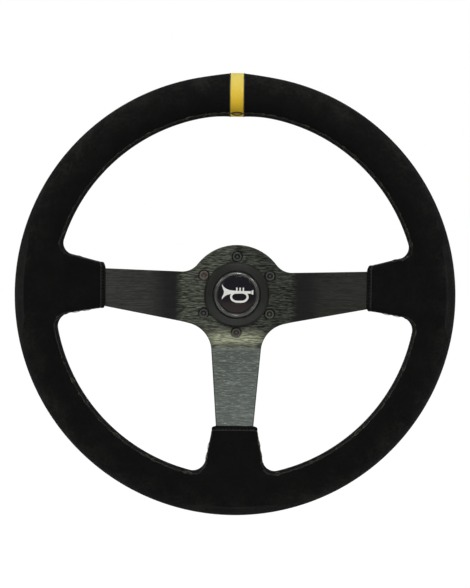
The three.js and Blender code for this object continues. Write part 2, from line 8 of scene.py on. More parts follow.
import bmesh
import bpy
import numpy as np
from mathutils import Matrix, Vector


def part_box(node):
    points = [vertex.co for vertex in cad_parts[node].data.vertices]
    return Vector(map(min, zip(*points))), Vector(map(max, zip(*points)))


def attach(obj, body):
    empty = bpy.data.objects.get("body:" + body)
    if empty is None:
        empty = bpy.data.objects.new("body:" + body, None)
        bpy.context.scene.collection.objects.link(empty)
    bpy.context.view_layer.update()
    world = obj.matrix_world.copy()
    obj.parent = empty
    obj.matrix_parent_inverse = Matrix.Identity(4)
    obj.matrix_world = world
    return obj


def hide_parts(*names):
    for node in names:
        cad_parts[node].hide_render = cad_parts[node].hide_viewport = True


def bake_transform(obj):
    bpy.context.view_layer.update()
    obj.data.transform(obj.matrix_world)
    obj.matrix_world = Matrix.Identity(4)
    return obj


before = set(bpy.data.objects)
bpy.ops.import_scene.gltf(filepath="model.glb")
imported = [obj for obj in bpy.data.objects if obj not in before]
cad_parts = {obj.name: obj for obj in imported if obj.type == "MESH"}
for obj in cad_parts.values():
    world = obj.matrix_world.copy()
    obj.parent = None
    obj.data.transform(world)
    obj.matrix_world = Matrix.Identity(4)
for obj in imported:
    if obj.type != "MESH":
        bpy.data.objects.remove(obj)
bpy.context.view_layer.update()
MM = 0.001


def rear_and_front(node):
    """How far a CAD node's rear and front lie towards the driver, in millimetres."""
    low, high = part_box(node)
    return -high.y / MM, -low.y / MM


# ---- Sizes that the CAD part shares ----
GAP = 0.3  # clearance between pieces that touch
RIM_HALF_WIDTH = 15.3
RIM_HALF_DEPTH = 14.0
RIM_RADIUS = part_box("suede_right")[1].x / MM - RIM_HALF_WIDTH
RIM_FRONT = rear_and_front("suede_right")[1]
RIM_PLANE = RIM_FRONT - RIM_HALF_DEPTH
SUEDE = 1.3
SUEDE_SEAMS = (90, 215, 325)  # degrees, where two lengths meet
MARKER_WIDTH = 10.6
PLATE_FRONT = rear_and_front("wheel_screw_1")[1]
PLATE_REAR = rear_and_front("coupler_body")[1] + GAP
PLATE_THICKNESS = PLATE_FRONT - PLATE_REAR
PLATE_MIDDLE = (PLATE_FRONT + PLATE_REAR) / 2
PLATE_DISC = 45.6
BEND = 50.0  # from the axis to a spoke's bend
BEND_RADIUS = 12.0
SLOPE = math.atan2(RIM_PLANE - PLATE_MIDDLE, RIM_RADIUS - BEND)
SPOKE_END = 150.0
SPOKE_HALF_WIDTH = 22.9
SPOKE_TAPER = 0.112
SIDE_MIDDLE = -2.2
SIDE_LEAN = 0.1365
UPPER_FILLET = 18.0
LOWER_FILLET = 27.0
HORN_BORE = 25.3
BOLT_CIRCLE = 35.0
SCREW_HEAD = 4.75
SCREW_RADIUS = 2.2
SCREW_HOLE = SCREW_RADIUS + GAP
SCREW_ANGLES = tuple(math.radians(30 + 60 * i) for i in range(6))
SLEEVE_START = 112.7
SLEEVE_HALF_DEPTH = 6.0
SLEEVE_DEEPENING = 0.1
SLEEVE_FILLET = 11.0
SLEEVE_EDGE = 4.6  # the roundings of a sleeve, of its hem and of the inside of its skin
HEM_EDGE = 1.6
MOUTH_EDGE = 3.4
HEM_DEPTH = 2.4  # how far the skin is open behind the hem
FOAM_GAP = 0.25  # between the foam and the skin
PLUG_START = 0.7  # the stretch of a sleeve's mouth that the foam fills
PLUG_DEPTH = 5.0

# ---- Sizes of the sewing ----
MARKER_PLACE = -0.9  # the band sits a little to the left
MARKER_SWELL = 1.1  # of the suede beside the band
MARKER_SWELL_REACH = 15.0
SEAM_PITCH = 9.2
SEAM_LEAN = 0.34  # how far the grip's surface still faces the driver at the seam


# ---- Meshes ----
def placed(points):
    """Drawn points in millimetres, as row frame points in metres."""
    x, y, z = np.asarray(points, float).reshape(-1, 3).T
    return np.column_stack([x, -z, y]) * MM


def linked(name, data):
    """A new object in the scene."""
    made = bpy.data.objects.new(name, data)
    bpy.context.scene.collection.objects.link(made)
    return made


def mesh_object(name, points, faces, smooth):
    """An object from drawn points and faces. Edges sharper than `smooth` degrees stay sharp."""
    mesh = bpy.data.meshes.new(name)
    faces = faces.tolist() if isinstance(faces, np.ndarray) else faces
    mesh.from_pydata(placed(points).tolist(), [], faces)
    mesh.validate()
    return soften(linked(name, mesh), smooth)


def mesh_of(work, name):
    """The finished mesh of a bmesh, which is freed."""
    mesh = bpy.data.meshes.new(name)
    work.to_mesh(mesh)
    work.free()
    return mesh


def soften(piece, degrees):
    piece.data.shade_smooth()
    piece.data.set_sharp_from_angle(angle=math.radians(degrees))
    return piece


def outward(piece, smooth):
    """Merges doubles and turns every face of a closed piece outwards."""
    work = bmesh.new()
    work.from_mesh(piece.data)
    bmesh.ops.remove_doubles(work, verts=work.verts, dist=1e-7)
    bmesh.ops.recalc_face_normals(work, faces=work.faces)
    work.to_mesh(piece.data)
    work.free()
    return soften(piece, smooth)


def fit_out(piece, finish, slot, body, *stands_for):
    """Gives a finished piece its finish and its body, and hides the CAD nodes that it stands for. Its slot is
    not used.
    """
    piece.data.materials.clear()
    piece.data.materials.append(FINISHES[finish])
    if stands_for:
        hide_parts(*stands_for)
    if body:
        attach(piece, body)


def evaluated_copy(name, source):
    """The evaluated mesh of an object as a new plain object, with the source removed."""
    graph = bpy.context.evaluated_depsgraph_get()
    mesh = bpy.data.meshes.new_from_object(source.evaluated_get(graph))
    mesh.name = name
    bpy.data.objects.remove(source)
    return linked(name, mesh)


def full_turn(count):
    """Angles evenly round a circle."""
    return np.arange(count) * 2 * math.pi / count


def ring_faces(rings, sides, closed):
    """Faces between rings of points, and from the last ring to the first where the form is closed."""
    here = np.arange(sides)
    ahead = (here + 1) % sides
    faces = []
    for i in range(rings if closed else rings - 1):
        low, high = i * sides, (i + 1) % rings * sides
        faces.extend(np.column_stack([low + here, low + ahead, high + ahead, high + here]).tolist())
    return faces


def rounded(corners, steps=4):
    """A profile through [radius, z, fillet] corners, each with a fillet of its own. The ends stay sharp."""
    made = []
    for i, (r, z, *fillet) in enumerate(corners):
        size = fillet[0] if fillet else 0
        if not size or i in (0, len(corners) - 1):
            made.append((r, z))
            continue
        here = Vector((r, z))
        back = Vector(corners[i - 1][:2]) - here
        ahead = Vector(corners[i + 1][:2]) - here
        half = back.angle(ahead) / 2
        reach = min(size / math.tan(half), back.length * 0.49, ahead.length * 0.49)
        start = here + back.normalized() * reach
        end = here + ahead.normalized() * reach
        for k in range(steps + 1):
            t = k / steps
            bent = start * (1 - t) ** 2 + here * 2 * t * (1 - t) + end * t * t
            made.append((bent.x, bent.y))
    return made


def revolved(name, profile, segments, closed=False, smooth=35):
    """A turned piece. The profile lists (radius, z) from end to end, and ends on the axis are closed.
    A radius may be a function of the angle, for a ring that isn't round."""
    angles = full_turn(segments)
    rings = []
    for radius, z in profile:
        reach = radius(angles) if callable(radius) else np.full(segments, float(radius))
        rings.append(np.column_stack([reach * np.cos(angles), reach * np.sin(angles), np.full(segments, z)]))
    faces = ring_faces(len(profile), segments, closed)
    return outward(mesh_object(name, np.concatenate(rings), faces, smooth), smooth)


def tube(name, path, radius, sides=6, closed=False):
    """A round cord along a path."""
    path = np.asarray(path, float)
    ahead = np.roll(path, -1, axis=0) - np.roll(path, 1, axis=0) if closed else np.gradient(path, axis=0)
    ahead = unit_rows(ahead)
    up = np.cross(ahead, [0.0, 0.0, 1.0])
    up[np.linalg.norm(up, axis=1) < 0.05] = (1, 0, 0)
    up = unit_rows(up)
    aside = np.cross(ahead, up)
    turns = full_turn(sides)
    ring = np.cos(turns)[None, :, None] * up[:, None] + np.sin(turns)[None, :, None] * aside[:, None]
    points = (path[:, None] + ring * radius).reshape(-1, 3)
    faces = ring_faces(len(path), sides, closed)
    if not closed:
        faces += [tuple(range(sides))[::-1], tuple(range(len(points) - sides, len(points)))]
    return outward(mesh_object(name, points, faces, 60), 60)


# ---- Spokes ----
SIDE_SLEEVE = {"middle": 7.9, "drift": 0.06, "half": 19.0, "flare": 0.22}
BOTTOM_SLEEVE = {"middle": 0.0, "drift": 0.0, "half": 19.0, "flare": 0.2}
SPOKES = (
    {"name": "right", "turn": 0.0, "up": 1, "sleeve": SIDE_SLEEVE},
    {"name": "left", "turn": math.pi, "up": -1, "sleeve": SIDE_SLEEVE},
    {"name": "bottom", "turn": -math.pi / 2, "up": 0, "sleeve": BOTTOM_SLEEVE},
)


def spoke_half_width(p):
    return SPOKE_HALF_WIDTH - SPOKE_TAPER * (p - BEND)


def spoke_middle(p, up):
    return up * (SIDE_MIDDLE + SIDE_LEAN * (p - BEND))


def sleeve_reach(spoke, along):
    """The middle and the half width of a spoke's sleeve, so far out from its hem."""
    sizes = spoke["sleeve"]
    middle = (spoke["up"] or 1) * (sizes["middle"] + sizes["drift"] * along)
    return middle, sizes["half"] + sizes["flare"] * along


def in_plan(spoke, p, q):
    """The plan point that lies p along a spoke and q across it."""
    c, s = math.cos(spoke["turn"]), math.sin(spoke["turn"])
    return p * c - q * s, p * s + q * c


def sheet_height(p, aside):
    """Height of the bent sheet's surface that lies `aside` of its middle, p from the axis along a spoke."""
    bend_start = BEND - BEND_RADIUS * math.tan(SLOPE / 2)
    radius = BEND_RADIUS - aside
    bend_end = bend_start + radius * math.sin(SLOPE)
    along = np.clip(p - bend_start, 0, radius * math.sin(SLOPE))
    in_bend = PLATE_MIDDLE + BEND_RADIUS - np.sqrt(radius**2 - along**2)
    return in_bend + np.maximum(p - bend_end, 0) * math.tan(SLOPE)


# ---- Outlines ----
def unit(vector):
    return vector / np.linalg.norm(vector)


def unit_rows(vectors):
    return vectors / np.linalg.norm(vectors, axis=1)[:, None]


def edge(start, end, aside):
    """A straight edge moved to its left by `aside`: a point and a direction."""
    start, end = np.array(start, float), np.array(end, float)
    along = unit(end - start)
    return start + aside * np.array([-along[1], along[0]]), along


def crossing(a, b):
    across = b[0] - a[0]
    turning = a[1][0] * b[1][1] - a[1][1] * b[1][0]
    return a[0] + a[1] * (across[0] * b[1][1] - across[1] * b[1][0]) / turning


def leaving_circle(line, radius):
    """Where an edge leaves the circle of this radius round the axis."""
    point, along = line
    b = point @ along
    return point + along * (-b + math.sqrt(b * b - point @ point + radius * radius))


def bearing(start, end):
    return math.atan2(end[1] - start[1], end[0] - start[0])


def wound_to(angle, near):
    """The same bearing, within half a turn of another."""
    return near + math.remainder(angle - near, 2 * math.pi)


def arc(centre, radius, start, end, step=3.0):
    """Points along an arc, about `step` degrees apart."""
    count = max(2, math.ceil(abs(end - start) / math.radians(step)))
    angles = np.linspace(start, end, count + 1)
    return np.column_stack([centre[0] + radius * np.cos(angles), centre[1] + radius * np.sin(angles)])


def plate_outline(grow):
    """The plate as the driver sees it, grown by `grow`: its right half from the top down, then the left."""
    disc, upper, lower = PLATE_DISC + grow, UPPER_FILLET - grow, LOWER_FILLET - grow
    end = SPOKE_END + grow

    def side(p, sign):
        return np.array([p, spoke_middle(p, 1) + sign * (spoke_half_width(p) + grow)])

    def foot(p):
        return np.array([spoke_half_width(p) + grow, -p])

    quarter = math.pi / 2
    upper_centre = leaving_circle(edge(side(BEND, 1), side(end, 1), upper), disc + upper)
    under = edge(side(BEND, -1), side(end, -1), -lower)
    beside = edge(foot(BEND), foot(end), lower)
    lower_centre = crossing(under, beside)
    right = np.concatenate([
        arc((0, 0), disc, quarter, bearing((0, 0), upper_centre)),
        arc(upper_centre, upper, bearing(upper_centre, (0, 0)),
            bearing(side(BEND, 1), side(end, 1)) - quarter)[1:],
        [side(end, 1), side(end, -1)],
        arc(lower_centre, lower, bearing(side(BEND, -1), side(end, -1)) + quarter,
            bearing(foot(BEND), foot(end)) + 3 * quarter),
        [foot(end)],
    ])
    return np.concatenate([right, right[:0:-1] * (-1, 1)])


def circle(radius, centre=(0, 0), segments=96):
    angles = full_turn(segments)
    return np.column_stack([centre[0] + radius * np.cos(angles), centre[1] + radius * np.sin(angles)])


# ---- Implicit forms ----
def march(field, box, step):
    """Quads round the space where `field` is negative, by surface nets, drawn in on to the surface itself."""
    low, high = np.array(box[0], float), np.array(box[1], float)
    counts = np.ceil((high - low) / step).astype(int) + 1
    axes = [low[i] + step * np.arange(counts[i]) for i in range(3)]
    grid = np.empty(counts, np.float32)
    for k, x in enumerate(axes[0]):
        y, z = np.meshgrid(axes[1], axes[2], indexing="ij")
        grid[k] = field(np.full(y.shape, x), y, z)
    inside = grid < 0
    cells = counts - 1
    total = np.zeros((*cells, 3), np.float32)
    hits = np.zeros(cells, np.float32)
    corners = [(a, b, c) for a in (0, 1) for b in (0, 1) for c in (0, 1)]

    def at(array, corner):
        return array[tuple(slice(corner[i], corner[i] + cells[i]) for i in range(3))]

    for corner in corners:
        for axis in range(3):
            if corner[axis]:
                continue
            other = tuple(1 if i == axis else corner[i] for i in range(3))
            crossed = at(inside, corner) != at(inside, other)
            first, second = at(grid, corner), at(grid, other)
            share = np.where(crossed, first / np.where(crossed, first - second, 1), 0)
            hits += crossed
            for i in range(3):
                total[..., i] += crossed * (corner[i] + (share if i == axis else 0))
    used = hits > 0
    number = np.full(cells, -1)
    number[used] = np.arange(used.sum())
    points = low + step * (np.argwhere(used) + total[used] / hits[used, None])
    faces = []
    for axis in range(3):
        u, v = (axis + 1) % 3, (axis + 2) % 3
        span = [slice(1, -1)] * 3
        span[axis] = slice(0, -1)
        ahead = list(span)
        ahead[axis] = slice(1, None)
        here, there = inside[tuple(span)], inside[tuple(ahead)]
        for outwards in (True, False):
            found = np.argwhere(here & ~there if outwards else ~here & there)
            found += [0 if i == axis else 1 for i in range(3)]
            quad = []
            for du, dv in ((0, 0), (1, 0), (1, 1), (0, 1)):
                cell = found.copy()
                cell[:, u] -= 1 - du
                cell[:, v] -= 1 - dv
                quad.append(number[tuple(cell.T)])
            faces.append(np.column_stack(quad if outwards else quad[::-1]))
    for _ in range(3):
        points = settled(field, points, step / 2)
    return points, np.concatenate(faces)


def slope_of(field, points, reach=0.05):
    """The field's gradient at points."""
    gradient = np.empty_like(points)
    for i in range(3):
        offset = np.zeros(3)
        offset[i] = reach
        gradient[:, i] = (field(*(points + offset).T) - field(*(points - offset).T)) / (2 * reach)
    return gradient


def settled(field, points, most):
    """Points moved on to the field's surface, by at most `most`."""
    gradient = slope_of(field, points)
    square = np.maximum((gradient**2).sum(1), 1e-6)
    move = -gradient * (field(*points.T) / square)[:, None]
    length = np.linalg.norm(move, axis=1)
    return points + move * np.minimum(1, most / np.maximum(length, 1e-9))[:, None]


def filleted_union(a, b, radius):
    """The space inside a or b, with a fillet where they meet."""
    return np.maximum(radius, np.minimum(a, b)) - np.hypot(np.maximum(radius - a, 0), np.maximum(radius - b, 0))


def rounded_meet(a, b, radius):
    """The space inside both a and b, with a rounded edge between them."""
    a, b = a + radius, b + radius
    return np.hypot(np.maximum(a, 0), np.maximum(b, 0)) + np.minimum(np.maximum(a, b), 0) - radius


# ---- Grip ----
def rim_distance(x, y, z):
    """The distance to the rim's grip, which swells towards the marker where the suede is doubled."""
    swell = MARKER_SWELL * np.exp(-(((x - MARKER_PLACE) / MARKER_SWELL_REACH) ** 2)) * (y > 0)
    a, b = np.hypot(x, y) - RIM_RADIUS, z - RIM_PLANE
    near = np.hypot(a / RIM_HALF_WIDTH, b / RIM_HALF_DEPTH)
    slope = np.hypot(a / RIM_HALF_WIDTH**2, b / RIM_HALF_DEPTH**2)
    return near * (near - 1) / np.maximum(slope, 1e-9) - swell


def on_spoke(x, y, z, spoke):
    """Distances along, across, above and up the slope of a spoke."""
    c, s = math.cos(spoke["turn"]), math.sin(spoke["turn"])
    p, q = x * c + y * s, y * c - x * s
    above = (z - PLATE_MIDDLE) * math.cos(SLOPE) - (p - BEND) * math.sin(SLOPE)
    up_slope = (p - BEND) * math.cos(SLOPE) + (z - PLATE_MIDDLE) * math.sin(SLOPE)
    return p, q, above, up_slope - (SLEEVE_START - BEND) / math.cos(SLOPE)


def sleeve_distance(x, y, z, spoke):
    """The distances to a sleeve and to the slot in it that the spoke comes out of."""
    p, q, above, past_hem = on_spoke(x, y, z, spoke)
    along = p - SLEEVE_START
    middle, half = sleeve_reach(spoke, along)
    depth = SLEEVE_HALF_DEPTH + SLEEVE_DEEPENING * along
    body = rounded_meet(np.abs(q - middle) - half, np.abs(above) - depth, SLEEVE_EDGE)
    body = rounded_meet(body, -past_hem, HEM_EDGE)
    body = np.maximum(body, np.hypot(x, y) - RIM_RADIUS)
    slot = np.maximum(np.abs(above) - PLATE_THICKNESS / 2 - 0.25,
                      np.abs(q - spoke_middle(p, spoke["up"])) - spoke_half_width(p) - GAP)
    return body, np.maximum(slot, p - SPOKE_END)


def grip_distance(x, y, z):
    """The outside of the suede: the rim, its three sleeves and the slots that the spokes come out of."""
    form = rim_distance(x, y, z)
    pairs = [sleeve_distance(x, y, z, spoke) for spoke in SPOKES]
    for sleeve, _ in pairs:
        form = filleted_union(form, sleeve, SLEEVE_FILLET)
    for _, slot in pairs:
        form = np.maximum(form, -slot)
    return form


def facing_of(points):
    """The grip's normals at points on its surface."""
    return unit_rows(slope_of(grip_distance, points))


def settled_on_grip(points, rounds, most):
    for _ in range(rounds):
        points = settled(grip_distance, points, most)
    return points


def seam_base(window):
    """Plan points round the edge of a window between two spokes, from sleeve to sleeve."""
    inner = RIM_RADIUS - RIM_HALF_WIDTH

    def sleeve_side(spoke, sign):
        ends = []
        for p in (SLEEVE_START + 2, inner):
            middle, half = sleeve_reach(spoke, p - SLEEVE_START)
            ends.append(np.array(in_plan(spoke, p, middle + sign * half)))
        return ends

    start, toward = sleeve_side(window[0], 1)
    stop, back = sleeve_side(window[1], -1)
    centre_a = leaving_circle(edge(start, toward, SLEEVE_FILLET), inner - SLEEVE_FILLET)
    centre_b = leaving_circle(edge(stop, back, -SLEEVE_FILLET), inner - SLEEVE_FILLET)
    turn_a, turn_b = bearing((0, 0), centre_a), bearing((0, 0), centre_b)
    turn_b += 2 * math.pi * (turn_b < turn_a)
    from_a = wound_to(bearing(start, toward) - math.pi / 2, turn_a)
    to_b = wound_to(bearing(stop, back) + math.pi / 2, turn_b)
    outline = np.concatenate([
        [start],
        arc(centre_a, SLEEVE_FILLET, from_a, turn_a, 6),
        arc((0, 0), inner, turn_a, turn_b, 1)[1:-1],
        arc(centre_b, SLEEVE_FILLET, turn_b, to_b, 6),
        [stop],
    ])
    return even_steps(outline, 1.0)


def lengths_along(points):
    """How far each point of a polyline lies along it."""
    return np.concatenate([[0], np.cumsum(np.linalg.norm(np.diff(points, axis=0), axis=1))])


def sampled(values, lengths, marks):
    """Rows of values at marks along a polyline."""
    return np.column_stack([np.interp(marks, lengths, column) for column in values.T])


def even_steps(points, step):
    """Points about `step` apart along a polyline."""
    lengths = lengths_along(points)
    marks = np.linspace(0, lengths[-1], max(2, round(lengths[-1] / step)) + 1)
    return sampled(points, lengths, marks)


def front_of_grip(plan):
    """Points of the grip's front surface over plan points."""
    points = np.column_stack([plan, np.full(len(plan), RIM_FRONT + 6)])
    for _ in range(60):
        points[:, 2] -= np.clip(grip_distance(*points.T), -1, 6) * 0.7
    return points


def seam_path(window):
    """The sewn seam's points and normals, near where the grip's surface turns away from the driver."""
    base = seam_base(window)
    ahead = np.gradient(base, axis=0)
    inward = unit_rows(np.column_stack([ahead[:, 1], -ahead[:, 0]]))
    low, high = np.full(len(base), -1.0), np.full(len(base), 7.0)
    for _ in range(14):
        middle = (low + high) / 2
        points = front_of_grip(base + inward * middle[:, None])
        missed = np.abs(grip_distance(*points.T)) > 0.3
        shallow = missed | (facing_of(points)[:, 2] < SEAM_LEAN)
        low, high = np.where(shallow, middle, low), np.where(shallow, high, middle)
    points = front_of_grip(base + inward * high[:, None])
    span = 7
    padded = np.pad(points, ((span // 2, span // 2), (0, 0)), "edge")
    smooth = np.column_stack([np.convolve(column, np.ones(span) / span, "valid") for column in padded.T])
    smooth = settled_on_grip(even_steps(smooth, 0.8), 3, 1.0)
    return smooth, facing_of(smooth)


RIGHT, LEFT, BOTTOM = SPOKES
WINDOWS = ((RIGHT, LEFT), (LEFT, BOTTOM), (BOTTOM, RIGHT))


# ---- Node graphs ----
class Wire:
    """An output socket that takes part in arithmetic: each operator adds a Math node."""

    def __init__(self, graph, socket):
        self.graph = graph
        self.socket = socket

    def __add__(self, other):
        return self.graph.maths("ADD", self, other)

    def __sub__(self, other):
        return self.graph.maths("SUBTRACT", self, other)

    def __rsub__(self, other):
        return self.graph.maths("SUBTRACT", other, self)

    def __mul__(self, other):
        return self.graph.maths("MULTIPLY", self, other)

    def __pow__(self, other):
        return self.graph.maths("POWER", self, other)

    def __abs__(self):
        return self.graph.maths("ABSOLUTE", self)

    __radd__ = __add__
    __rmul__ = __mul__


class Graph:
    """A node tree that is written from its inputs to its output."""

    def __init__(self, tree):
        self.tree = tree

    def node(self, kind, settings=None, sockets=None, output=0):
        """Adds a node: its settings first, then the value or the link of each socket that is named."""
        made = self.tree.nodes.new(kind)
        for key, value in (settings or {}).items():
            setattr(made, key, value)
        for key, value in (sockets or {}).items():
            for one in value if isinstance(value, list) else [value]:
                if isinstance(one, Wire):
                    self.tree.links.new(one.socket, made.inputs[key])
                else:
                    made.inputs[key].default_value = one
        return Wire(self, made.outputs[output]) if made.outputs else made

    def maths(self, operation, *values):
        return self.node("ShaderNodeMath", {"operation": operation}, dict(enumerate(values)))


# ---- Finishes ----
class Finish(Graph):
    """A material that is worked out from a place on the wheel, in the row frame."""

    def __init__(self, name):
        self.material = bpy.data.materials.new(name)
        self.material.use_nodes = True
        super().__init__(self.material.node_tree)
        self.tree.nodes.clear()
        self.place = self.node("ShaderNodeTexCoord", output="Object")
        parts = self.node("ShaderNodeSeparateXYZ", sockets={"Vector": self.place})
        outputs = parts.socket.node.outputs
        self.x, self.y, self.z = (Wire(self, outputs[axis]) for axis in "XYZ")

    def from_axis(self):
        return (self.x * self.x + self.z * self.z) ** 0.5

    def noise(self, scale, detail=3.0, roughness=0.55, stretch=None):
        """Noise at a scale, or at the scales along x, y and z that `stretch` gives."""
        place = self.place
        if stretch:
            place = self.node("ShaderNodeVectorMath", {"operation": "MULTIPLY"}, {0: place, 1: stretch})
        sockets = {"Vector": place, "Scale": scale, "Detail": detail, "Roughness": roughness}
        return self.node("ShaderNodeTexNoise", sockets=sockets)

    def between(self, value, low, high):
        """0 below low, 1 above high, and a smooth step between."""
        sockets = {"Value": value, "From Min": low, "From Max": high}
        return self.node("ShaderNodeMapRange", {"interpolation_type": "SMOOTHSTEP"}, sockets)

    def over(self, place, low, high):
        """A smooth step over a stretch that is given in millimetres."""
        return self.between(place, low * MM, high * MM)

    def mixed(self, factor, first, second):
        """Two colours mixed by a factor."""
        first, second = ((*one, 1.0) if isinstance(one, tuple) else one for one in (first, second))
        return self.node("ShaderNodeMix", {"data_type": "RGBA"}, {"Factor": factor, 6: first, 7: second}, 2)

    def bump(self, height, distance, strength, under=None):
        sockets = {"Height": height, "Distance": distance * MM, "Strength": strength}
        if under:
            sockets["Normal"] = under
        return self.node("ShaderNodeBump", sockets=sockets)

    def finished(self, **sockets):
        named = {key.replace("_", " "): value for key, value in sockets.items()}
        shader = self.node("ShaderNodeBsdfPrincipled", sockets=named)
        self.node("ShaderNodeOutputMaterial", sockets={"Surface": shader})
        return self.material


def grey(level, cast=0.0):
    """A grey. A cast turns it green and away from blue."""
    return (level * (1 + cast * 0.4), level * (1 + cast * 1.4), level * (1 - cast * 0.4))


def suede_finish():
    """Black suede: fine nap, with patches brushed the other way, most on the outside of the rim, where they
    also stand for a painted sheen.
    """
    look = Finish("suede black nap")
    patches, nap, fibre = look.noise(55.0, 4.0, 0.62), look.noise(420.0), look.noise(1900.0, 2.0)
    brushed_up = look.between(patches * 0.6 + nap * 0.4, 0.42, 0.66)
    # Painted sheen: the lighter nap patches gather on the outside of the rim.
    outer_sheen = look.over(look.from_axis(), RIM_RADIUS - 9, RIM_RADIUS + 9)
    nap_and_sheen = brushed_up * (0.22 + outer_sheen * 0.78)
    colour = look.mixed(nap_and_sheen, (0.0020, 0.0025, 0.0020), (0.0100, 0.0108, 0.0088))
    coarse = look.bump(nap, 0.25, 0.55)
    return look.finished(Base_Color=colour, Roughness=0.93, Specular_IOR_Level=0.08, Sheen_Weight=0.03,
                         Sheen_Roughness=0.5, Normal=look.bump(fibre, 0.1, 0.5, coarse))


def hem_finish():
    look = Finish("suede turned hem")
    nap = look.noise(700.0)
    colour = look.mixed(look.between(nap, 0.4, 0.7), (0.003, 0.003, 0.003), (0.011, 0.011, 0.010))
    return look.finished(Base_Color=colour, Roughness=0.9, Specular_IOR_Level=0.08,
                         Normal=look.bump(nap, 0.15, 0.5))


def thread_finish(name, dark, light, shine, spotted=0.0):
    """Waxed thread with its twist. Where it is spotted it is dark, with painted glints in places only."""
    look = Finish(name)
    twist = look.node("ShaderNodeTexWave", {"bands_direction": "DIAGONAL"},
                      {"Vector": look.place, "Scale": 900.0, "Distortion": 1.5})
    # Painted glints: a spotted thread turns light only where this noise picks.
    painted_glints = look.between(look.noise(190.0, 1.0), 0.50, 0.66)
    colour = look.mixed((twist * 0.4 + 0.6) * (painted_glints * spotted + (1.0 - spotted)), dark, light)
    return look.finished(Base_Color=colour, Roughness=0.5, Specular_IOR_Level=shine,
                         Normal=look.bump(twist, 0.08, 0.7))


def marker_finish():
    """Yellow suede, with a painted highlight that turns it paler towards the top."""
    look = Finish("marker yellow suede")
    # Painted highlight: the band's colour turns paler with height.
    height = look.over(look.z, RIM_RADIUS - RIM_HALF_WIDTH, RIM_RADIUS + RIM_HALF_WIDTH)
    nap = look.noise(900.0)
    base = look.mixed(height, (0.645, 0.415, 0.011), (0.545, 0.445, 0.100))
    colour = look.mixed(look.between(nap, 0.35, 0.75) * 0.12, base, (0.76, 0.64, 0.20))
    return look.finished(Base_Color=colour, Roughness=0.85, Specular_IOR_Level=0.2,
                         Normal=look.bump(nap, 0.12, 0.5))


def foam_finish():
    look = Finish("grip foam")
    cells = look.node("ShaderNodeTexVoronoi", sockets={"Vector": look.place, "Scale": 1100.0})
    colour = look.mixed(cells, (0.016, 0.016, 0.017), (0.032, 0.032, 0.034))
    return look.finished(Base_Color=colour, Roughness=0.95, Specular_IOR_Level=0.2,
                         Normal=look.bump(cells, 0.3, 0.6))


def brushed_plate_finish():
    """Black-anodised aluminium, brushed level: coarse on the flat middle, finer and evener on the spokes."""
    look = Finish("plate brushed anodised")
    aside, below = abs(look.x), 0.0 - look.z
    short = look.noise(1.0, 3.0, 0.65, (170, 170, 2050))
    long = look.noise(1.0, 2.0, 0.65, (40, 40, 2100))
    lines = look.between(short * 0.75 + long * 0.25, 0.43, 0.59)
    glint = look.between(short, 0.57, 0.68)

    # The flat middle has painted shade to the right and painted glints, and a painted highlight along the bend
    # of the bottom spoke.
    shaded_to_right = look.over(look.x, -45, 35)
    dark = look.mixed(shaded_to_right, (0.020, 0.023, 0.018), (0.009, 0.011, 0.009))
    light = look.mixed(shaded_to_right, (0.140, 0.152, 0.118), (0.072, 0.079, 0.064))
    bright = look.mixed(shaded_to_right, (0.30, 0.32, 0.24), (0.18, 0.19, 0.15))
    flat = look.mixed(glint * 0.55, look.mixed(lines, dark, light), bright)
    band = look.over(12.5 * MM - abs(look.z + 41.2 * MM), 0, 12) * look.over(30 * MM - aside, 0, 14)
    flat = look.mixed(band * (0.25 + lines * 0.75), flat, (0.62, 0.65, 0.45))

    # Painted shade: the side spokes are darker near the hub, just past the bend, and darker to the right.
    strands = look.between(long * 0.55 + short * 0.45, 0.38, 0.62)
    side_dark = look.mixed(shaded_to_right, (0.034, 0.036, 0.032), (0.024, 0.026, 0.022))
    side_light = look.mixed(shaded_to_right, (0.074, 0.077, 0.070), (0.050, 0.053, 0.045))
    shaded_near_hub = 1.0 - look.over(aside, 62, 80)
    side = look.mixed(shaded_near_hub * 0.8, look.mixed(strands, side_dark, side_light), (0.019, 0.020, 0.020))

    # The bottom spoke is painted lighter than the side spokes, as lit from above, with painted glints and
    # painted shade along its edges.
    foot = look.mixed(lines * 0.7 + strands * 0.3, (0.025, 0.029, 0.026), (0.066, 0.075, 0.067))
    foot = look.mixed(glint * 0.7, foot, (0.230, 0.255, 0.220))
    full = SPOKE_HALF_WIDTH + SPOKE_TAPER * BEND
    shaded_border = look.over(aside + below * SPOKE_TAPER, full - 1.3, full - 0.4)
    foot = look.mixed(shaded_border * 0.85, foot, (0.010, 0.011, 0.010))

    spokes = look.mixed(look.over(below, 40, 50), side, foot)
    middle = (1.0 - look.over(aside, 50, 57)) * (1.0 - look.over(below, 41, 53))
    return look.finished(Base_Color=look.mixed(middle, spokes, flat), Metallic=0.85,
                         Roughness=0.40 + lines * 0.12, Normal=look.bump(lines, 0.03, 0.5))


def anodised_finish(name, level, rough):
    """Turned and anodised aluminium with fine tool lines round the axis."""
    look = Finish(name)
    pitch = 2600.0
    lines = look.maths("SINE", look.from_axis() * pitch + look.y * pitch) * 0.5 + 0.5
    blotch = look.noise(120.0)
    colour = look.mixed(blotch * 0.5 + lines * 0.5, grey(level * 0.82), grey(level * 1.3))
    return look.finished(Base_Color=colour, Metallic=0.9, Roughness=rough + lines * 0.08,
                         Normal=look.bump(lines, 0.015, 0.5))


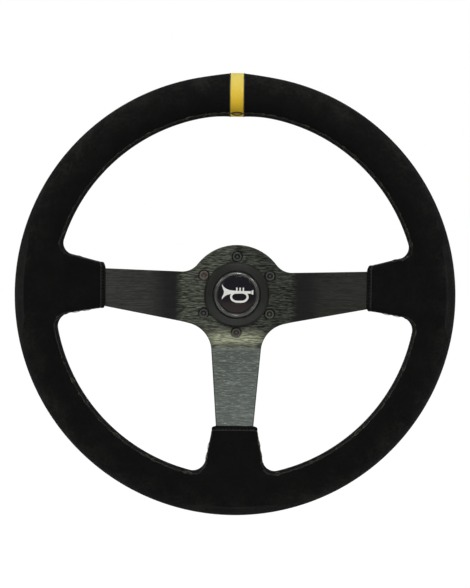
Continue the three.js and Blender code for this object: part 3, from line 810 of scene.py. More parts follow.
def black_oxide_finish():
    """Black-oxide screw steel, with a painted highlight on a ring of each head and in the socket. `tarnish`
    turns a head brown.
    """
    look = Finish("screw black oxide")
    # Folding the bearing on to one sixth of a turn gives every screw the same distance from its own axis.
    turned = look.maths("ARCTAN2", look.z, look.x) + 2 * math.pi
    folded = abs(look.maths("MODULO", turned, math.pi / 3) - math.pi / 6)
    reach = look.from_axis()
    across = look.maths("COSINE", folded) * reach - BOLT_CIRCLE * MM
    along = look.maths("SINE", folded) * reach
    radius = (across * across + along * along) ** 0.5
    # Painted highlights: a light ring on the head and a light spot on the socket's floor.
    rim = look.over(0.85 * MM - abs(radius - (SCREW_HEAD - 1.4) * MM), 0.0, 0.5)
    floor = look.over(1.5 * MM - radius, 0.0, 0.9)
    tarnish = look.node("ShaderNodeAttribute", {"attribute_name": "tarnish"}, output="Fac")
    grain = look.noise(1500.0)
    dark = look.mixed(tarnish, (0.014, 0.016, 0.015), (0.090, 0.075, 0.062))
    light = look.mixed(tarnish, (0.150, 0.160, 0.145), (0.210, 0.175, 0.150))
    colour = look.mixed((rim * 0.8 + floor) * (0.6 + look.between(grain, 0.4, 0.75) * 0.4), dark, light)
    return look.finished(Base_Color=colour, Metallic=0.8, Roughness=0.30 + grain * 0.15,
                         Normal=look.bump(grain, 0.03, 0.5))


def steel_finish(name, level, rough):
    look = Finish(name)
    scratch = look.noise(1.0, stretch=(300, 1800, 300))
    colour = look.mixed(scratch, grey(level * 0.8), grey(level * 1.15))
    return look.finished(Base_Color=colour, Metallic=1.0, Roughness=rough + scratch * 0.12,
                         Normal=look.bump(scratch, 0.02, 0.4))


def brass_finish():
    look = Finish("brass contact")
    stain = look.noise(300.0)
    colour = look.mixed(look.between(stain, 0.4, 0.8), (0.62, 0.42, 0.14), (0.32, 0.20, 0.08))
    return look.finished(Base_Color=colour, Metallic=1.0, Roughness=0.28 + stain * 0.2)


def plastic_finish(name, level, rough, grain=0.3, cast=0.0, shine=0.5, polish=0.0):
    look = Finish(name)
    texture = look.noise(1400.0, 2.0)
    mottle = look.noise(90.0)
    colour = look.mixed(mottle, grey(level * 0.85, cast), grey(level * 1.15, cast))
    return look.finished(Base_Color=colour, Roughness=rough + texture * 0.06, Specular_IOR_Level=shine,
                         Coat_Weight=polish, Coat_Roughness=0.03, Normal=look.bump(texture, 0.05, grain))


def lens_finish():
    """Polished black, coated, with faint wipe marks, and a painted warm reflection towards the bottom."""
    look = Finish("horn lens black")
    wipe = look.noise(1.0, stretch=(60, 60, 400))
    # Painted reflection: the black turns warmer towards the bottom.
    colour = look.mixed(look.over(look.z, -14, 2), (0.0110, 0.0035, 0.0035), (0.010, 0.009, 0.012))
    return look.finished(Base_Color=colour, Roughness=0.05 + wipe * 0.06, Specular_IOR_Level=0.22,
                         Coat_Weight=0.12, Coat_Roughness=0.03)


def print_finish():
    look = Finish("horn sign ink")
    colour = look.mixed(look.noise(1200.0), (0.66, 0.66, 0.62), (0.76, 0.76, 0.72))
    return look.finished(Base_Color=colour, Roughness=0.3, Coat_Weight=0.6)


FINISHES = {
    "suede": suede_finish(),
    "hem": hem_finish(),
    "seam_thread": thread_finish("thread seam", (0.004, 0.004, 0.003), (0.120, 0.100, 0.065), 0.15, 0.95),
    "black_thread": thread_finish("thread black", (0.004, 0.004, 0.004), (0.016, 0.016, 0.015), 0.4),
    "marker": marker_finish(),
    "foam": foam_finish(),
    "brushed_plate": brushed_plate_finish(),
    "armature": plastic_finish("armature black paint", 0.02, 0.4),
    "anodised": anodised_finish("quick release anodised", 0.045, 0.3),
    "collar": anodised_finish("collar anodised", 0.055, 0.36),
    "black_steel": black_oxide_finish(),
    "bright_steel": steel_finish("steel bright", 0.62, 0.18),
    "spring_steel": steel_finish("steel spring", 0.42, 0.28),
    "brass": brass_finish(),
    "horn_plastic": plastic_finish("horn base plastic", 0.02, 0.5),
    "horn_satin": plastic_finish("horn ring satin", 0.012, 0.26, 0.25, 0.11, 0.36),
    "horn_gloss": plastic_finish("horn cap polished", 0.045, 0.02, 0.0, 0.07, 0.5, 1.0),
    "horn_print": print_finish(),
    "horn_lens": lens_finish(),
}


# ---- Geometry node trees ----
class Recipe(Graph):
    """A geometry node tree with named inputs. Its result is realised and painted at the end."""

    def __init__(self, name, **sizes):
        super().__init__(bpy.data.node_groups.new(name, "GeometryNodeTree"))
        make = self.tree.interface.new_socket
        make("Geometry", in_out="INPUT", socket_type="NodeSocketGeometry")
        self.keys = {}
        for label, value in sizes.items():
            kind = "NodeSocketInt" if isinstance(value, int) else "NodeSocketFloat"
            self.keys[label] = make(label, in_out="INPUT", socket_type=kind).identifier
        self.keys["Finish"] = make("Finish", in_out="INPUT", socket_type="NodeSocketMaterial").identifier
        make("Geometry", in_out="OUTPUT", socket_type="NodeSocketGeometry")
        self.sizes = sizes
        self.entry = self.tree.nodes.new("NodeGroupInput")
        self.geometry = self.given("Geometry")

    def given(self, label):
        return Wire(self, self.entry.outputs[label])

    def end(self, geometry):
        real = self.node("GeometryNodeRealizeInstances", sockets={"Geometry": geometry})
        smooth = self.node("GeometryNodeSetShadeSmooth", sockets={0: real})
        painted = self.node("GeometryNodeSetMaterial", sockets={0: smooth, "Material": self.given("Finish")})
        self.node("NodeGroupOutput", sockets={0: painted})
        return self

    def cook(self, name, seedling, material, smooth=40, **sizes):
        """Runs the tree on a seedling mesh and returns the result as a plain piece."""
        modifier = seedling.modifiers.new(self.tree.name, "NODES")
        modifier.node_group = self.tree
        for label, value in {**self.sizes, **sizes}.items():
            modifier[self.keys[label]] = value
        modifier[self.keys["Finish"]] = material
        made = evaluated_copy(name, seedling)
        soften(made, smooth)
        return made


def seedling(name, points, **carried):
    """A mesh of bare points that carries a direction or a number at each."""
    mesh = bpy.data.meshes.new(name)
    mesh.from_pydata(placed(points).tolist(), [], [])
    for label, values in carried.items():
        values = np.asarray(values, float)
        if values.ndim == 2:
            layer = mesh.attributes.new(label, "FLOAT_VECTOR", "POINT")
            layer.data.foreach_set("vector", (placed(values) / MM).ravel().astype(np.float32))
        else:
            layer = mesh.attributes.new(label, "FLOAT", "POINT")
            layer.data.foreach_set("value", values.astype(np.float32))
    return linked(name, mesh)


def stood_on_points(recipe, geometry):
    """Copies of a shape on the seedling's points: its z along `facing`, its x along `heading`."""
    facing, heading = (recipe.node("GeometryNodeInputNamedAttribute", {"data_type": "FLOAT_VECTOR"},
                                   {"Name": label}) for label in ("facing", "heading"))
    turn = recipe.node("FunctionNodeAxesToRotation", {"primary_axis": "Z", "secondary_axis": "X"},
                       {0: facing, 1: heading})
    return recipe.node("GeometryNodeInstanceOnPoints",
                       sockets={"Points": recipe.geometry, "Instance": geometry, "Rotation": turn})


def round_wire(recipe, curve, sides, radius):
    section = recipe.node("GeometryNodeCurvePrimitiveCircle", sockets={"Resolution": sides, "Radius": radius})
    return recipe.node("GeometryNodeCurveToMesh",
                       sockets={"Curve": curve, "Profile Curve": section, "Fill Caps": True})


def bent_thread(recipe, resolution, aside, rise):
    """A thread that comes up out of the surface and goes back into it, bowed aside between."""
    length, sunk = recipe.given("HalfLength"), 0.0 - recipe.given("Rise")
    start, end = (recipe.node("ShaderNodeCombineXYZ", sockets={"X": x, "Z": sunk})
                  for x in (0.0 - length, length))
    middle = recipe.node("ShaderNodeCombineXYZ", sockets={"Y": aside, "Z": rise})
    bent = recipe.node("GeometryNodeCurveQuadraticBezier", sockets={
        "Resolution": resolution, "Start": start, "Middle": middle, "End": end})
    return round_wire(recipe, bent, 5, recipe.given("Thread"))


def stitch_recipe():
    """Stitches on points: two threads that cross at both ends and bow apart between."""
    recipe = Recipe("stitches", HalfLength=0.004, HalfWidth=0.0015, Rise=0.0005, Thread=0.00022)
    width, rise = recipe.given("HalfWidth"), recipe.given("Rise")
    threads = [bent_thread(recipe, 6, width * 2.0 * side, rise * 2.2) for side in (-1.0, 1.0)]
    both = recipe.node("GeometryNodeJoinGeometry", sockets={"Geometry": threads})
    return recipe.end(stood_on_points(recipe, both))


def running_stitch_recipe():
    recipe = Recipe("running stitches", HalfLength=0.001, Rise=0.0003, Thread=0.0002)
    return recipe.end(stood_on_points(recipe, bent_thread(recipe, 4, 0.0, recipe.given("Rise") * 2.0)))


def spring_recipe():
    """A round-wire spring along the axis."""
    recipe = Recipe("coil spring", Radius=0.0278, Wire=0.00075, Start=0.0343, End=0.0417, Turns=3.0)
    start, wire, radius = recipe.given("Start"), recipe.given("Wire"), recipe.given("Radius")
    coil = recipe.node("GeometryNodeCurveSpiral", sockets={
        "Resolution": 48, "Rotations": recipe.given("Turns"), "Start Radius": radius, "End Radius": radius,
        "Height": recipe.given("End") - start - wire * 2.0})
    base = recipe.node("ShaderNodeCombineXYZ", sockets={"Y": 0.0 - start - wire})
    stood = recipe.node("GeometryNodeTransform", sockets={
        "Geometry": coil, "Translation": base, "Rotation": (math.pi / 2, 0.0, 0.0)})
    return recipe.end(round_wire(recipe, stood, 10, wire))


def copies_recipe(pattern):
    """Copies of a pattern piece on points. Each carries its point's `tarnish`."""
    recipe = Recipe("copies of " + pattern.name, Size=1.0)
    shape = recipe.node("GeometryNodeObjectInfo", {"transform_space": "ORIGINAL"}, {"Object": pattern},
                        "Geometry")
    copies = stood_on_points(recipe, shape)
    return recipe.end(recipe.node("GeometryNodeScaleInstances",
                                  sockets={"Instances": copies, "Scale": recipe.given("Size")}))


STITCHES = stitch_recipe()
RUNNING_STITCHES = running_stitch_recipe()
SPRING = spring_recipe()


# ---- Grip pieces ----
def mouth_distance(x, y, z, spoke, inset, depth):
    """The inside of a sleeve's skin, from in front of its hem to `depth` behind it."""
    p, q, above, past_hem = on_spoke(x, y, z, spoke)
    middle, half = sleeve_reach(spoke, p - SLEEVE_START)
    section = rounded_meet(np.abs(q - middle) - half + inset, np.abs(above) - SLEEVE_HALF_DEPTH + inset,
                           MOUTH_EDGE)
    return np.maximum(section, past_hem - depth)


def suede_distance(x, y, z):
    form = grip_distance(x, y, z)
    for spoke in SPOKES:
        form = np.maximum(form, -mouth_distance(x, y, z, spoke, SUEDE, HEM_DEPTH))
    return form


def foam_distance(x, y, z):
    """The foam stops just inside the hem of each sleeve."""
    form = grip_distance(x, y, z) + SUEDE + FOAM_GAP
    for spoke in SPOKES:
        past_hem = on_spoke(x, y, z, spoke)[3]
        plug = np.maximum(mouth_distance(x, y, z, spoke, SUEDE + 0.05, PLUG_DEPTH), PLUG_START - past_hem)
        plug = np.maximum(plug, -sleeve_distance(x, y, z, spoke)[1])
        form = np.minimum(form, plug)
    return form


GRIP_BOX = ((-177.0, -177.0, 90.0), (177.0, 177.0, 149.0))
FINE_STEP = 1.15  # between the samples of a form
COARSE_STEP = 2.2


def sliced(work, point, normal, **options):
    """Cuts a bmesh along a plane."""
    everything = work.verts[:] + work.edges[:] + work.faces[:]
    return bmesh.ops.bisect_plane(work, geom=everything, plane_co=point, plane_no=normal, **options)


def between_seams(source, name, first, second):
    """The stretch of a closed form between two seams, closed again at its cut ends."""
    work = bmesh.new()
    work.from_mesh(source)
    for degrees, side in ((first, 1), (second, -1)):
        angle = math.radians(degrees)
        normal = Vector((-math.sin(angle), 0, math.cos(angle))) * side
        cut_edges = sliced(work, normal * 0.1 * MM, normal, clear_inner=True)["geom_cut"]
        rim = [e for e in cut_edges if isinstance(e, bmesh.types.BMEdge) and e.is_boundary]
        bmesh.ops.triangle_fill(work, edges=rim, use_beauty=True)
    bmesh.ops.recalc_face_normals(work, faces=work.faces)
    return soften(linked(name, mesh_of(work, name)), 50)


def make_suede():
    points, faces = march(suede_distance, GRIP_BOX, FINE_STEP)
    whole = mesh_object("suede_whole", points, faces, 50)
    seams = [*SUEDE_SEAMS, SUEDE_SEAMS[0] + 360]
    for i, side in enumerate(("left", "bottom", "right")):
        wrap = between_seams(whole.data, "suede_wrap_" + side, seams[i], seams[i + 1])
        fit_out(wrap, "suede", "suede", "wheel", "suede_" + side)
    bpy.data.objects.remove(whole)


def make_foam():
    points, faces = march(foam_distance, GRIP_BOX, COARSE_STEP)
    foam = mesh_object("foam_core", points, faces, 50)
    fit_out(foam, "foam", "foam", "wheel", "grip_foam")


def stitch_points(path, normals, pitch, offset=0.0):
    """Places along a seam one pitch apart, with the seam's heading and the surface's normal."""
    lengths = lengths_along(path)
    count = int((lengths[-1] - pitch) / pitch)
    count -= 1 - count % 2
    marks = (lengths[-1] - (count - 1) * pitch) / 2 + np.arange(count) * pitch + offset
    return [sampled(values, lengths, marks) for values in (path, np.gradient(path, axis=0), normals)]


def sew(recipe, name, rows, finish, slot, **sizes):
    """Stitches at rows of place, heading and normal, with their sizes in millimetres."""
    seeds = seedling(name + "_places", rows[:, :3], heading=rows[:, 3:6], facing=rows[:, 6:])
    sizes = {label: size * MM for label, size in sizes.items()}
    fit_out(recipe.cook(name, seeds, FINISHES[finish], **sizes), finish, slot, "wheel")


def make_rim_seams():
    """The butted edge round each window is a dark sunk line under crossed stitches.
    They are dark with painted glints on the suede, and black on the marker."""
    light, dark = [], []
    for number, window in enumerate(WINDOWS, 1):
        path, normals = seam_path(window)
        rightward = 1 if path[-1, 0] > path[0, 0] else -1
        places, heading, facing = stitch_points(path, normals, SEAM_PITCH, MARKER_PLACE * rightward)
        on_marker = (np.abs(places[:, 0] - MARKER_PLACE) < SEAM_PITCH / 2) & (places[:, 1] > 0)
        for rows, kept, lift in ((light, ~on_marker, 0.1), (dark, on_marker, 0.25)):
            rows.append(np.column_stack([places + facing * lift, heading, facing])[kept])
        cord = tube(f"seam_edge_{number}", path - normals * 0.15, 0.42)
        fit_out(cord, "black_thread", "suede", "wheel")
    length = SEAM_PITCH * 0.52
    sew(STITCHES, "seam_stitches", np.concatenate(light), "seam_thread", "suede",
        HalfLength=length, HalfWidth=1.5, Rise=0.35, Thread=0.2)
    sew(STITCHES, "marker_stitches", np.concatenate(dark), "black_thread", "marker",
        HalfLength=length, HalfWidth=2.0, Rise=0.35, Thread=0.44)


def hem_loop(spoke, past_hem):
    """A loop round a sleeve at one distance behind its hem, on the suede's surface, with its normals."""
    turns = full_turn(150)
    squareness = 0.35
    across, up = (np.sign(wave) * np.abs(wave) ** squareness for wave in (np.cos(turns), np.sin(turns)))
    p0 = SLEEVE_START + past_hem * math.cos(SLOPE)
    middle, half = sleeve_reach(spoke, past_hem)
    above = (SLEEVE_HALF_DEPTH + 0.5) * up
    z = PLATE_MIDDLE + (p0 - BEND) * math.tan(SLOPE) + above * math.cos(SLOPE)
    plan = in_plan(spoke, p0 - above * math.sin(SLOPE), middle + half * across)
    loop = settled_on_grip(np.column_stack([*plan, z]), 5, 2.0)
    even = even_steps(np.concatenate([loop, loop[:1]]), 0.7)[:-1]
    even = settled_on_grip(even, 2, 1.0)
    return even, facing_of(even)


def make_hems():
    """Each sleeve ends in a folded hem: a raised edge, a sunk line and a row of stitches."""
    rows = []
    for spoke in SPOKES:
        for kind, past_hem, sunk, radius, finish, sides in (("line", 4.6, 0.18, 0.34, "black_thread", 6),
                                                            ("lip", 0.85, 0.45, 0.95, "hem", 8)):
            path, normals = hem_loop(spoke, past_hem)
            cord = tube(f"hem_{kind}_{spoke['name']}", path - normals * sunk, radius, sides, True)
            fit_out(cord, finish, "suede", "wheel")
        rows.append(np.column_stack(stitch_points(*hem_loop(spoke, 3.6), 2.9)))
    sew(RUNNING_STITCHES, "hem_stitches", np.concatenate(rows), "black_thread", "suede",
        HalfLength=1.05, Rise=0.22, Thread=0.16)


def rim_ring(x, proud):
    """A ring round the rim's section at one x, so far proud of the grip."""
    turns = full_turn(96)
    reach = RIM_RADIUS + (RIM_HALF_WIDTH + proud(turns)) * np.cos(turns)
    forward = (RIM_HALF_DEPTH + proud(turns)) * np.sin(turns)
    return np.column_stack([np.full(96, x), np.sqrt(reach**2 - x * x), RIM_PLANE + forward])


def make_marker():
    """The yellow band round the top of the rim, with its edges turned under and a black line on each side:
    black piping that also stands in for the shade in the gaps at its edges.
    """
    half = MARKER_WIDTH / 2
    edge_half = [(half, 0.1), (half, 0.65), (half - 0.2, 0.95), (half - 0.6, 1.1), (half * 0.5, 1.14)]
    crown = [(-x, proud) for x, proud in edge_half] + [(0.0, 1.16)] + edge_half[::-1]
    rings = [rim_ring(MARKER_PLACE + x, lambda turns: proud) for x, proud in crown]
    faces = ring_faces(len(crown), 96, True)
    band = outward(mesh_object("marker_band", np.concatenate(rings), faces, 45), 45)
    fit_out(band, "marker", "marker", "wheel", "centre_marker")
    for side, name in ((-1, "marker_edge_left"), (1, "marker_edge_right")):
        line = rim_ring(MARKER_PLACE + side * (half + 0.15),
                        lambda turns: 0.80 + 0.10 * np.sin(turns * 23 + side))
        fit_out(tube(name, line, 0.5, 6, True), "black_thread", "marker", "wheel")


# ---- Plate ----
def make_plate():
    """The bent sheet, cut flat with its holes and eased edges, then bent along three lines."""
    work = bmesh.new()
    half = PLATE_THICKNESS / 2
    eased = [(-0.42, half), (-0.14, half - 0.12), (0.0, half - 0.40), (0.0, -half + 0.40),
             (-0.14, -half + 0.12), (-0.42, -half)]
    bored = [(HORN_BORE + 0.3, half), (HORN_BORE, half - 0.3), (HORN_BORE, -half + 0.3),
             (HORN_BORE + 0.3, -half)]
    sink = SCREW_HEAD + 0.45
    sunk = [(sink + 0.22, half), (sink, half - 0.2), (SCREW_HOLE, half - 0.2 - sink + SCREW_HOLE),
            (SCREW_HOLE, -half)]
    outlines = [[(plate_outline(grow), level) for grow, level in eased],
                [(circle(radius), level) for radius, level in bored]]
    for angle in SCREW_ANGLES:
        centre = (BOLT_CIRCLE * math.cos(angle), BOLT_CIRCLE * math.sin(angle))
        outlines.append([(circle(radius, centre, 40), level) for radius, level in sunk])
    fronts, rears = [], []
    for rings in outlines:
        loops = [[work.verts.new((x, y, level)) for x, y in ring] for ring, level in rings]
        following = [loop[1:] + loop[:1] for loop in loops]
        for low, high, low_next, high_next in zip(loops, loops[1:], following, following[1:]):
            for corners in zip(low, low_next, high_next, high):
                work.faces.new(corners)
        fronts.extend(work.edges.get(pair) for pair in zip(loops[0], following[0]))
        rears.extend(work.edges.get(pair) for pair in zip(loops[-1], following[-1]))
    for edges in (fronts, rears):
        bmesh.ops.triangle_fill(work, edges=edges, use_beauty=True)
    bend_start = BEND - BEND_RADIUS * math.tan(SLOPE / 2)
    for step in range(-2, 14):
        for normal in ((1, 0, 0), (-1, 0, 0), (0, -1, 0)):
            sliced(work, Vector(normal) * (bend_start + step * 0.72), normal)
    bmesh.ops.recalc_face_normals(work, faces=work.faces)
    for vertex in work.verts:
        x, y, aside = vertex.co
        height = float(np.maximum(sheet_height(abs(x), aside), sheet_height(-y, aside)))
        vertex.co = (x * MM, -height * MM, y * MM)
    plate = outward(linked("plate_bent_sheet", mesh_of(work, "plate")), 14)
    fit_out(plate, "brushed_plate", "brushed_plate", "wheel", "spoke_plate")


# ---- Screws ----
def screw_pattern():
    """A countersunk socket screw that stands on z with its face at z = 0."""
    socket = 2.05
    length = PLATE_FRONT - rear_and_front("wheel_screw_1")[0]
    head = SCREW_HEAD - 0.5

    def hexed(angles):
        """A hexagon whose corners lie on the socket's radius."""
        return socket * math.cos(math.pi / 6) / np.cos(np.mod(angles, math.pi / 3) - math.pi / 6)

    profile = [(0, -2.1), (hexed, -2.0), (hexed, -0.5), (socket + 0.35, -0.2), (socket + 0.6, -0.22),
               (head - 0.75, -0.22), (head - 0.5, -0.06), (head - 0.15, -0.10),
               (head, -0.36), (SCREW_RADIUS, -2.7), (SCREW_RADIUS, -length + 0.5),
               (SCREW_RADIUS - 0.5, -length), (0, -length)]
    made = revolved("screw_pattern", profile, 48, smooth=28)
    made.data.transform(Matrix.Rotation(-math.pi / 2, 4, "X"))
    return made


def make_screws():
    """The six wheel screws in one piece. The one at the upper left has lost its black."""
    pattern = screw_pattern()
    angles = np.array(SCREW_ANGLES)
    places = np.column_stack([BOLT_CIRCLE * np.cos(angles), BOLT_CIRCLE * np.sin(angles),
                              np.full(6, PLATE_FRONT)])
    spin = angles + np.array([0.3, 0.9, 0.2, 0.7, 1.2, 0.5])
    heading = np.column_stack([np.cos(spin), np.sin(spin), np.zeros(6)])
    facing = np.tile([0.0, 0.0, 1.0], (6, 1))
    tarnish = [0.10, 0.0, 1.0, 0.12, 0.45, 0.15]
    seeds = seedling("screw_places", places, heading=heading, facing=facing, tarnish=tarnish)
    screws = copies_recipe(pattern).cook("wheel_screws", seeds, FINISHES["black_steel"], 28)
    bpy.data.objects.remove(pattern)
    fit_out(screws, "black_steel", "black_steel", "wheel", *(f"wheel_screw_{i}" for i in range(1, 7)))


# ---- Quick release ----
TO_BOLT_CIRCLE = Matrix.Translation((BOLT_CIRCLE * MM, 0, 0))
HUB_FLANGE = 42.0
HUB_FLANGE_THICKNESS = 8.0
HUB_BORE = 12.0
SPIGOT = 18.7
SPIGOT_END = 40.0
SPLINE_START = 24.0
SPLINE_TEETH = 12
SPLINE_ROOT = 16.4
SPLINE_HALF_GROOVE = 2.6
BALL_HEIGHT = 20.0
BALL_HOLE = 4.0
COUPLER_BORE = 19.1
COUPLER_TUBE = 24.5
COUPLER_NECK = 30.5
NECK_START = 42.0
COUPLER_FLANGE_START = 50.0
CIRCLIP_GROOVE = (9.0, 10.7)
CIRCLIP_GROOVE_FLOOR = 23.6
POCKET = 26.0
POCKET_FLOOR = 45.0
COLLAR_OUTER = 35.0
COLLAR_WAIST = 32.8
COLLAR_LAND = 24.9
COLLAR_FLUTES = 48
COLLAR_TRAVEL = 7.0
BALL_TRAVEL = 1.6
SPRING_CHAMBER = 31.0
SPRING_SHOULDER = 34.0


def cut(name, body, cutters):
    """A body with cutters taken out of it."""
    for cutter in cutters:
        step = body.modifiers.new("cut", "BOOLEAN")
        step.operation = "DIFFERENCE"
        step.object = cutter
        step.solver = "EXACT"
    made = evaluated_copy(name, body)
    for cutter in cutters:
        bpy.data.objects.remove(cutter)
    return soften(made, 30)


def drilled(profile, segments, *moves):
    """A cutter for a hole, turned and moved into its place."""
    cutter = revolved("hole", profile, segments)
    for move in moves:
        cutter.data.transform(move)
    return cutter


def round_axis(angle):
    """A turn round the steering axis, as the driver sees it."""
    return Matrix.Rotation(-angle, 4, "Y")


def make_column_hub():
    """The splined spigot on its flange, which stays on the steering column."""
    def splined(angles):
        pitch = 2 * math.pi / SPLINE_TEETH
        offset = np.abs(np.mod(angles + pitch / 2, pitch) - pitch / 2)
        return np.where(SPIGOT * np.sin(offset) < SPLINE_HALF_GROOVE, SPLINE_ROOT, SPIGOT)

    def splined_end(angles):
        return np.minimum(splined(angles), SPIGOT - 1.5)

    top = HUB_FLANGE_THICKNESS
    half_groove = [(-3.2, 0.0), (-2.6, 0.9), (-1.1, 1.6)]
    groove = [(SPIGOT - depth, BALL_HEIGHT + along) for along, depth in half_groove]
    groove += [(SPIGOT - depth, BALL_HEIGHT - along) for along, depth in half_groove[::-1]]
    profile = [(HUB_BORE + 0.6, 0), (HUB_FLANGE - 0.6, 0), (HUB_FLANGE, 0.6), (HUB_FLANGE, top - 1),
               (HUB_FLANGE - 1, top), (SPIGOT + 0.8, top), (SPIGOT, top + 0.8), *groove,
               (SPIGOT, SPLINE_START), (splined, SPLINE_START + 0.05), (splined, SPIGOT_END - 1.5),
               (splined_end, SPIGOT_END), (HUB_BORE + 0.6, SPIGOT_END), (HUB_BORE, SPIGOT_END - 0.6),
               (HUB_BORE, 0.6)]
    sunk_hole = [(0, -1), (SCREW_HOLE, -1), (SCREW_HOLE, 5.2), (5.2, 8.05), (5.2, 9), (0, 9)]
    cutters = [drilled(sunk_hole, 32, TO_BOLT_CIRCLE, round_axis(angle)) for angle in SCREW_ANGLES]
    hub = cut("hub_splined", revolved("hub_uncut", profile, 240, True, 30), cutters)
    fit_out(hub, "anodised", "anodised", "column", "column_hub")


def make_coupler():
    """The body that carries the wheel: its ball holes, circlip groove, neck and flange."""
    start = rear_and_front("coupler_body")[0]
    face = PLATE_REAR - GAP
    groove_start, groove_end = CIRCLIP_GROOVE
    profile = [(COUPLER_BORE + 0.5, start), (COUPLER_TUBE - 0.4, start), (COUPLER_TUBE, start + 0.4),
               (COUPLER_TUBE, groove_start), (CIRCLIP_GROOVE_FLOOR, groove_start),
               (CIRCLIP_GROOVE_FLOOR, groove_end), (COUPLER_TUBE, groove_end), (COUPLER_TUBE, NECK_START - 0.5),
               (COUPLER_TUBE + 0.5, NECK_START), (COUPLER_NECK, NECK_START),
               (COUPLER_NECK, COUPLER_FLANGE_START - 0.6),
               (COUPLER_NECK + 0.6, COUPLER_FLANGE_START), (HUB_FLANGE - 0.6, COUPLER_FLANGE_START),
               (HUB_FLANGE, COUPLER_FLANGE_START + 0.6), (HUB_FLANGE, face - 0.6), (HUB_FLANGE - 0.6, face),
               (POCKET, face), (POCKET, POCKET_FLOOR), (COUPLER_BORE, POCKET_FLOOR),
               (COUPLER_BORE, start + 0.5)]
    ball_hole = [(0, 15), (BALL_HOLE, 15), (BALL_HOLE, 28), (0, 28)]
    thread = [(0, 49), (SCREW_HOLE, 49), (SCREW_HOLE, 57), (0, 57)]
    outwards = Matrix.Rotation(math.pi / 2, 4, "Z")
    to_balls = Matrix.Translation((0, -BALL_HEIGHT * MM, 0))
    cutters = []
    for i, angle in enumerate(SCREW_ANGLES):
        cutters.append(drilled(ball_hole, 32, outwards, to_balls, round_axis(math.radians(60 * i))))
        cutters.append(drilled(thread, 24, TO_BOLT_CIRCLE, round_axis(angle)))
    coupler = cut("coupler_turned", revolved("coupler_uncut", profile, 160, True, 30), cutters)
    fit_out(coupler, "anodised", "anodised", "wheel", "coupler_body")


def make_collar():
    """The sliding collar: two raised finger bands, milled with flutes, and its cone and spring chamber."""
    start, end = rear_and_front("release_collar")
    held = BALL_HEIGHT + COLLAR_TRAVEL
    mouth = COLLAR_LAND + BALL_TRAVEL / COLLAR_TRAVEL * (held - start)

    def milled(inset, depth):
        def reach(angles):
            return COLLAR_OUTER - inset - depth * (0.5 - 0.5 * np.cos(COLLAR_FLUTES * angles)) ** 1.5
        return reach

    band, edge, shoulder = milled(0.0, 0.75), milled(0.8, 0.1), milled(0.6, 0.4)
    profile = [(mouth, start), (COLLAR_OUTER - 1.4, start), (edge, start + 0.3), (band, start + 1.4),
               (band, start + 6.2), (shoulder, start + 7.4), (COLLAR_WAIST + 0.5, start + 9.2),
               (COLLAR_WAIST, start + 10.2), (COLLAR_WAIST, end - 9.2), (COLLAR_WAIST + 0.5, end - 8.2),
               (shoulder, end - 6.6), (band, end - 5.6), (band, end - 1.4),
               (edge, end - 0.3), (COLLAR_OUTER - 1.4, end), (SPRING_CHAMBER, end),
               (SPRING_CHAMBER, SPRING_SHOULDER), (COLLAR_LAND, SPRING_SHOULDER), (COLLAR_LAND, held)]
    collar = revolved("collar_fluted", profile, 384, True, 35)
    fit_out(collar, "collar", "anodised", "collar", "release_collar")


def make_circlip():
    """An open ring with squared ends and eased edges."""
    low, high = rear_and_front("collar_circlip")
    gap = 0.19
    angles = np.linspace(-math.pi / 2 + gap, 3 * math.pi / 2 - gap, 90)
    section = [(23.95, low), (27.15, low), (27.15, high), (23.95, high)]
    points = [(r * math.cos(a), r * math.sin(a), z) for a in angles for r, z in section]
    last = len(points) - 4
    faces = ring_faces(len(angles), 4, False) + [(3, 2, 1, 0), (last, last + 1, last + 2, last + 3)]
    clip = outward(mesh_object("circlip_open", points, faces, 30), 30)
    ease = clip.modifiers.new("ease", "BEVEL")
    ease.width = 0.12 * MM
    ease.segments = 2
    clip = soften(evaluated_copy("circlip_sprung", clip), 40)
    fit_out(clip, "spring_steel", "black_steel", "wheel", "collar_circlip")


def make_balls():
    for i in range(1, 7):
        node = f"lock_ball_{i}"
        low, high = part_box(node)
        work = bmesh.new()
        bmesh.ops.create_icosphere(work, subdivisions=4, radius=(high.y - low.y) / 2)
        mesh = mesh_of(work, "ball")
        mesh.transform(Matrix.Translation((low + high) / 2))
        ball = soften(linked(f"ball_polished_{i}", mesh), 60)
        fit_out(ball, "bright_steel", "bright_steel", node, node)


def make_springs():
    """Both springs are squeezed between the two bodies that they push apart."""
    for name, node, rear_body, front_body, radius, wire, turns in (
            ("collar_coil", "collar_spring", "collar", "wheel", 27.8, 0.75, 3.0),
            ("horn_coil", "horn_spring", "wheel", "horn_button", 8.5, 0.6, 4.0)):
        low, high = rear_and_front(node)
        coil = SPRING.cook(name, seedling(name + "_seed", [(0, 0, 0)]), FINISHES["spring_steel"],
                           Radius=radius * MM, Wire=wire * MM, Start=low * MM, End=high * MM, Turns=turns)
        fit_out(coil, "spring_steel", "bright_steel", None, node)
        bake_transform(coil)


# ---- Horn ----
LENS_RADIUS = 17.0
LENS_REAR = rear_and_front("horn_lens")[0]
SIGN_SIZE = 1.5


def lens_height(radius):
    """Height of the lens's domed face."""
    return LENS_REAR + 3.0 - 1.3 * (radius / LENS_RADIUS) ** 2


def make_trim_ring():
    """The satin ring on the plate, with its cup in the coupler's pocket."""
    rear = PLATE_FRONT + GAP
    cup, front = rear_and_front("horn_trim_ring")
    profile = rounded([(25.0, cup), (25.0, rear), (29.9, rear, 0.2), (29.9, front - 1.9, 0.4),
                       (28.0, front - 0.75, 0.25), (22.9, front, 0.4), (22.3, front - 0.05, 0.4),
                       (21.4, front - 1.0, 0.4), (21.4, rear), (23.4, rear), (23.4, cup)], 5)
    trim = revolved("horn_ring_satin", profile, 160, True, 32)
    fit_out(trim, "horn_satin", "horn_satin", "wheel", "horn_trim_ring")


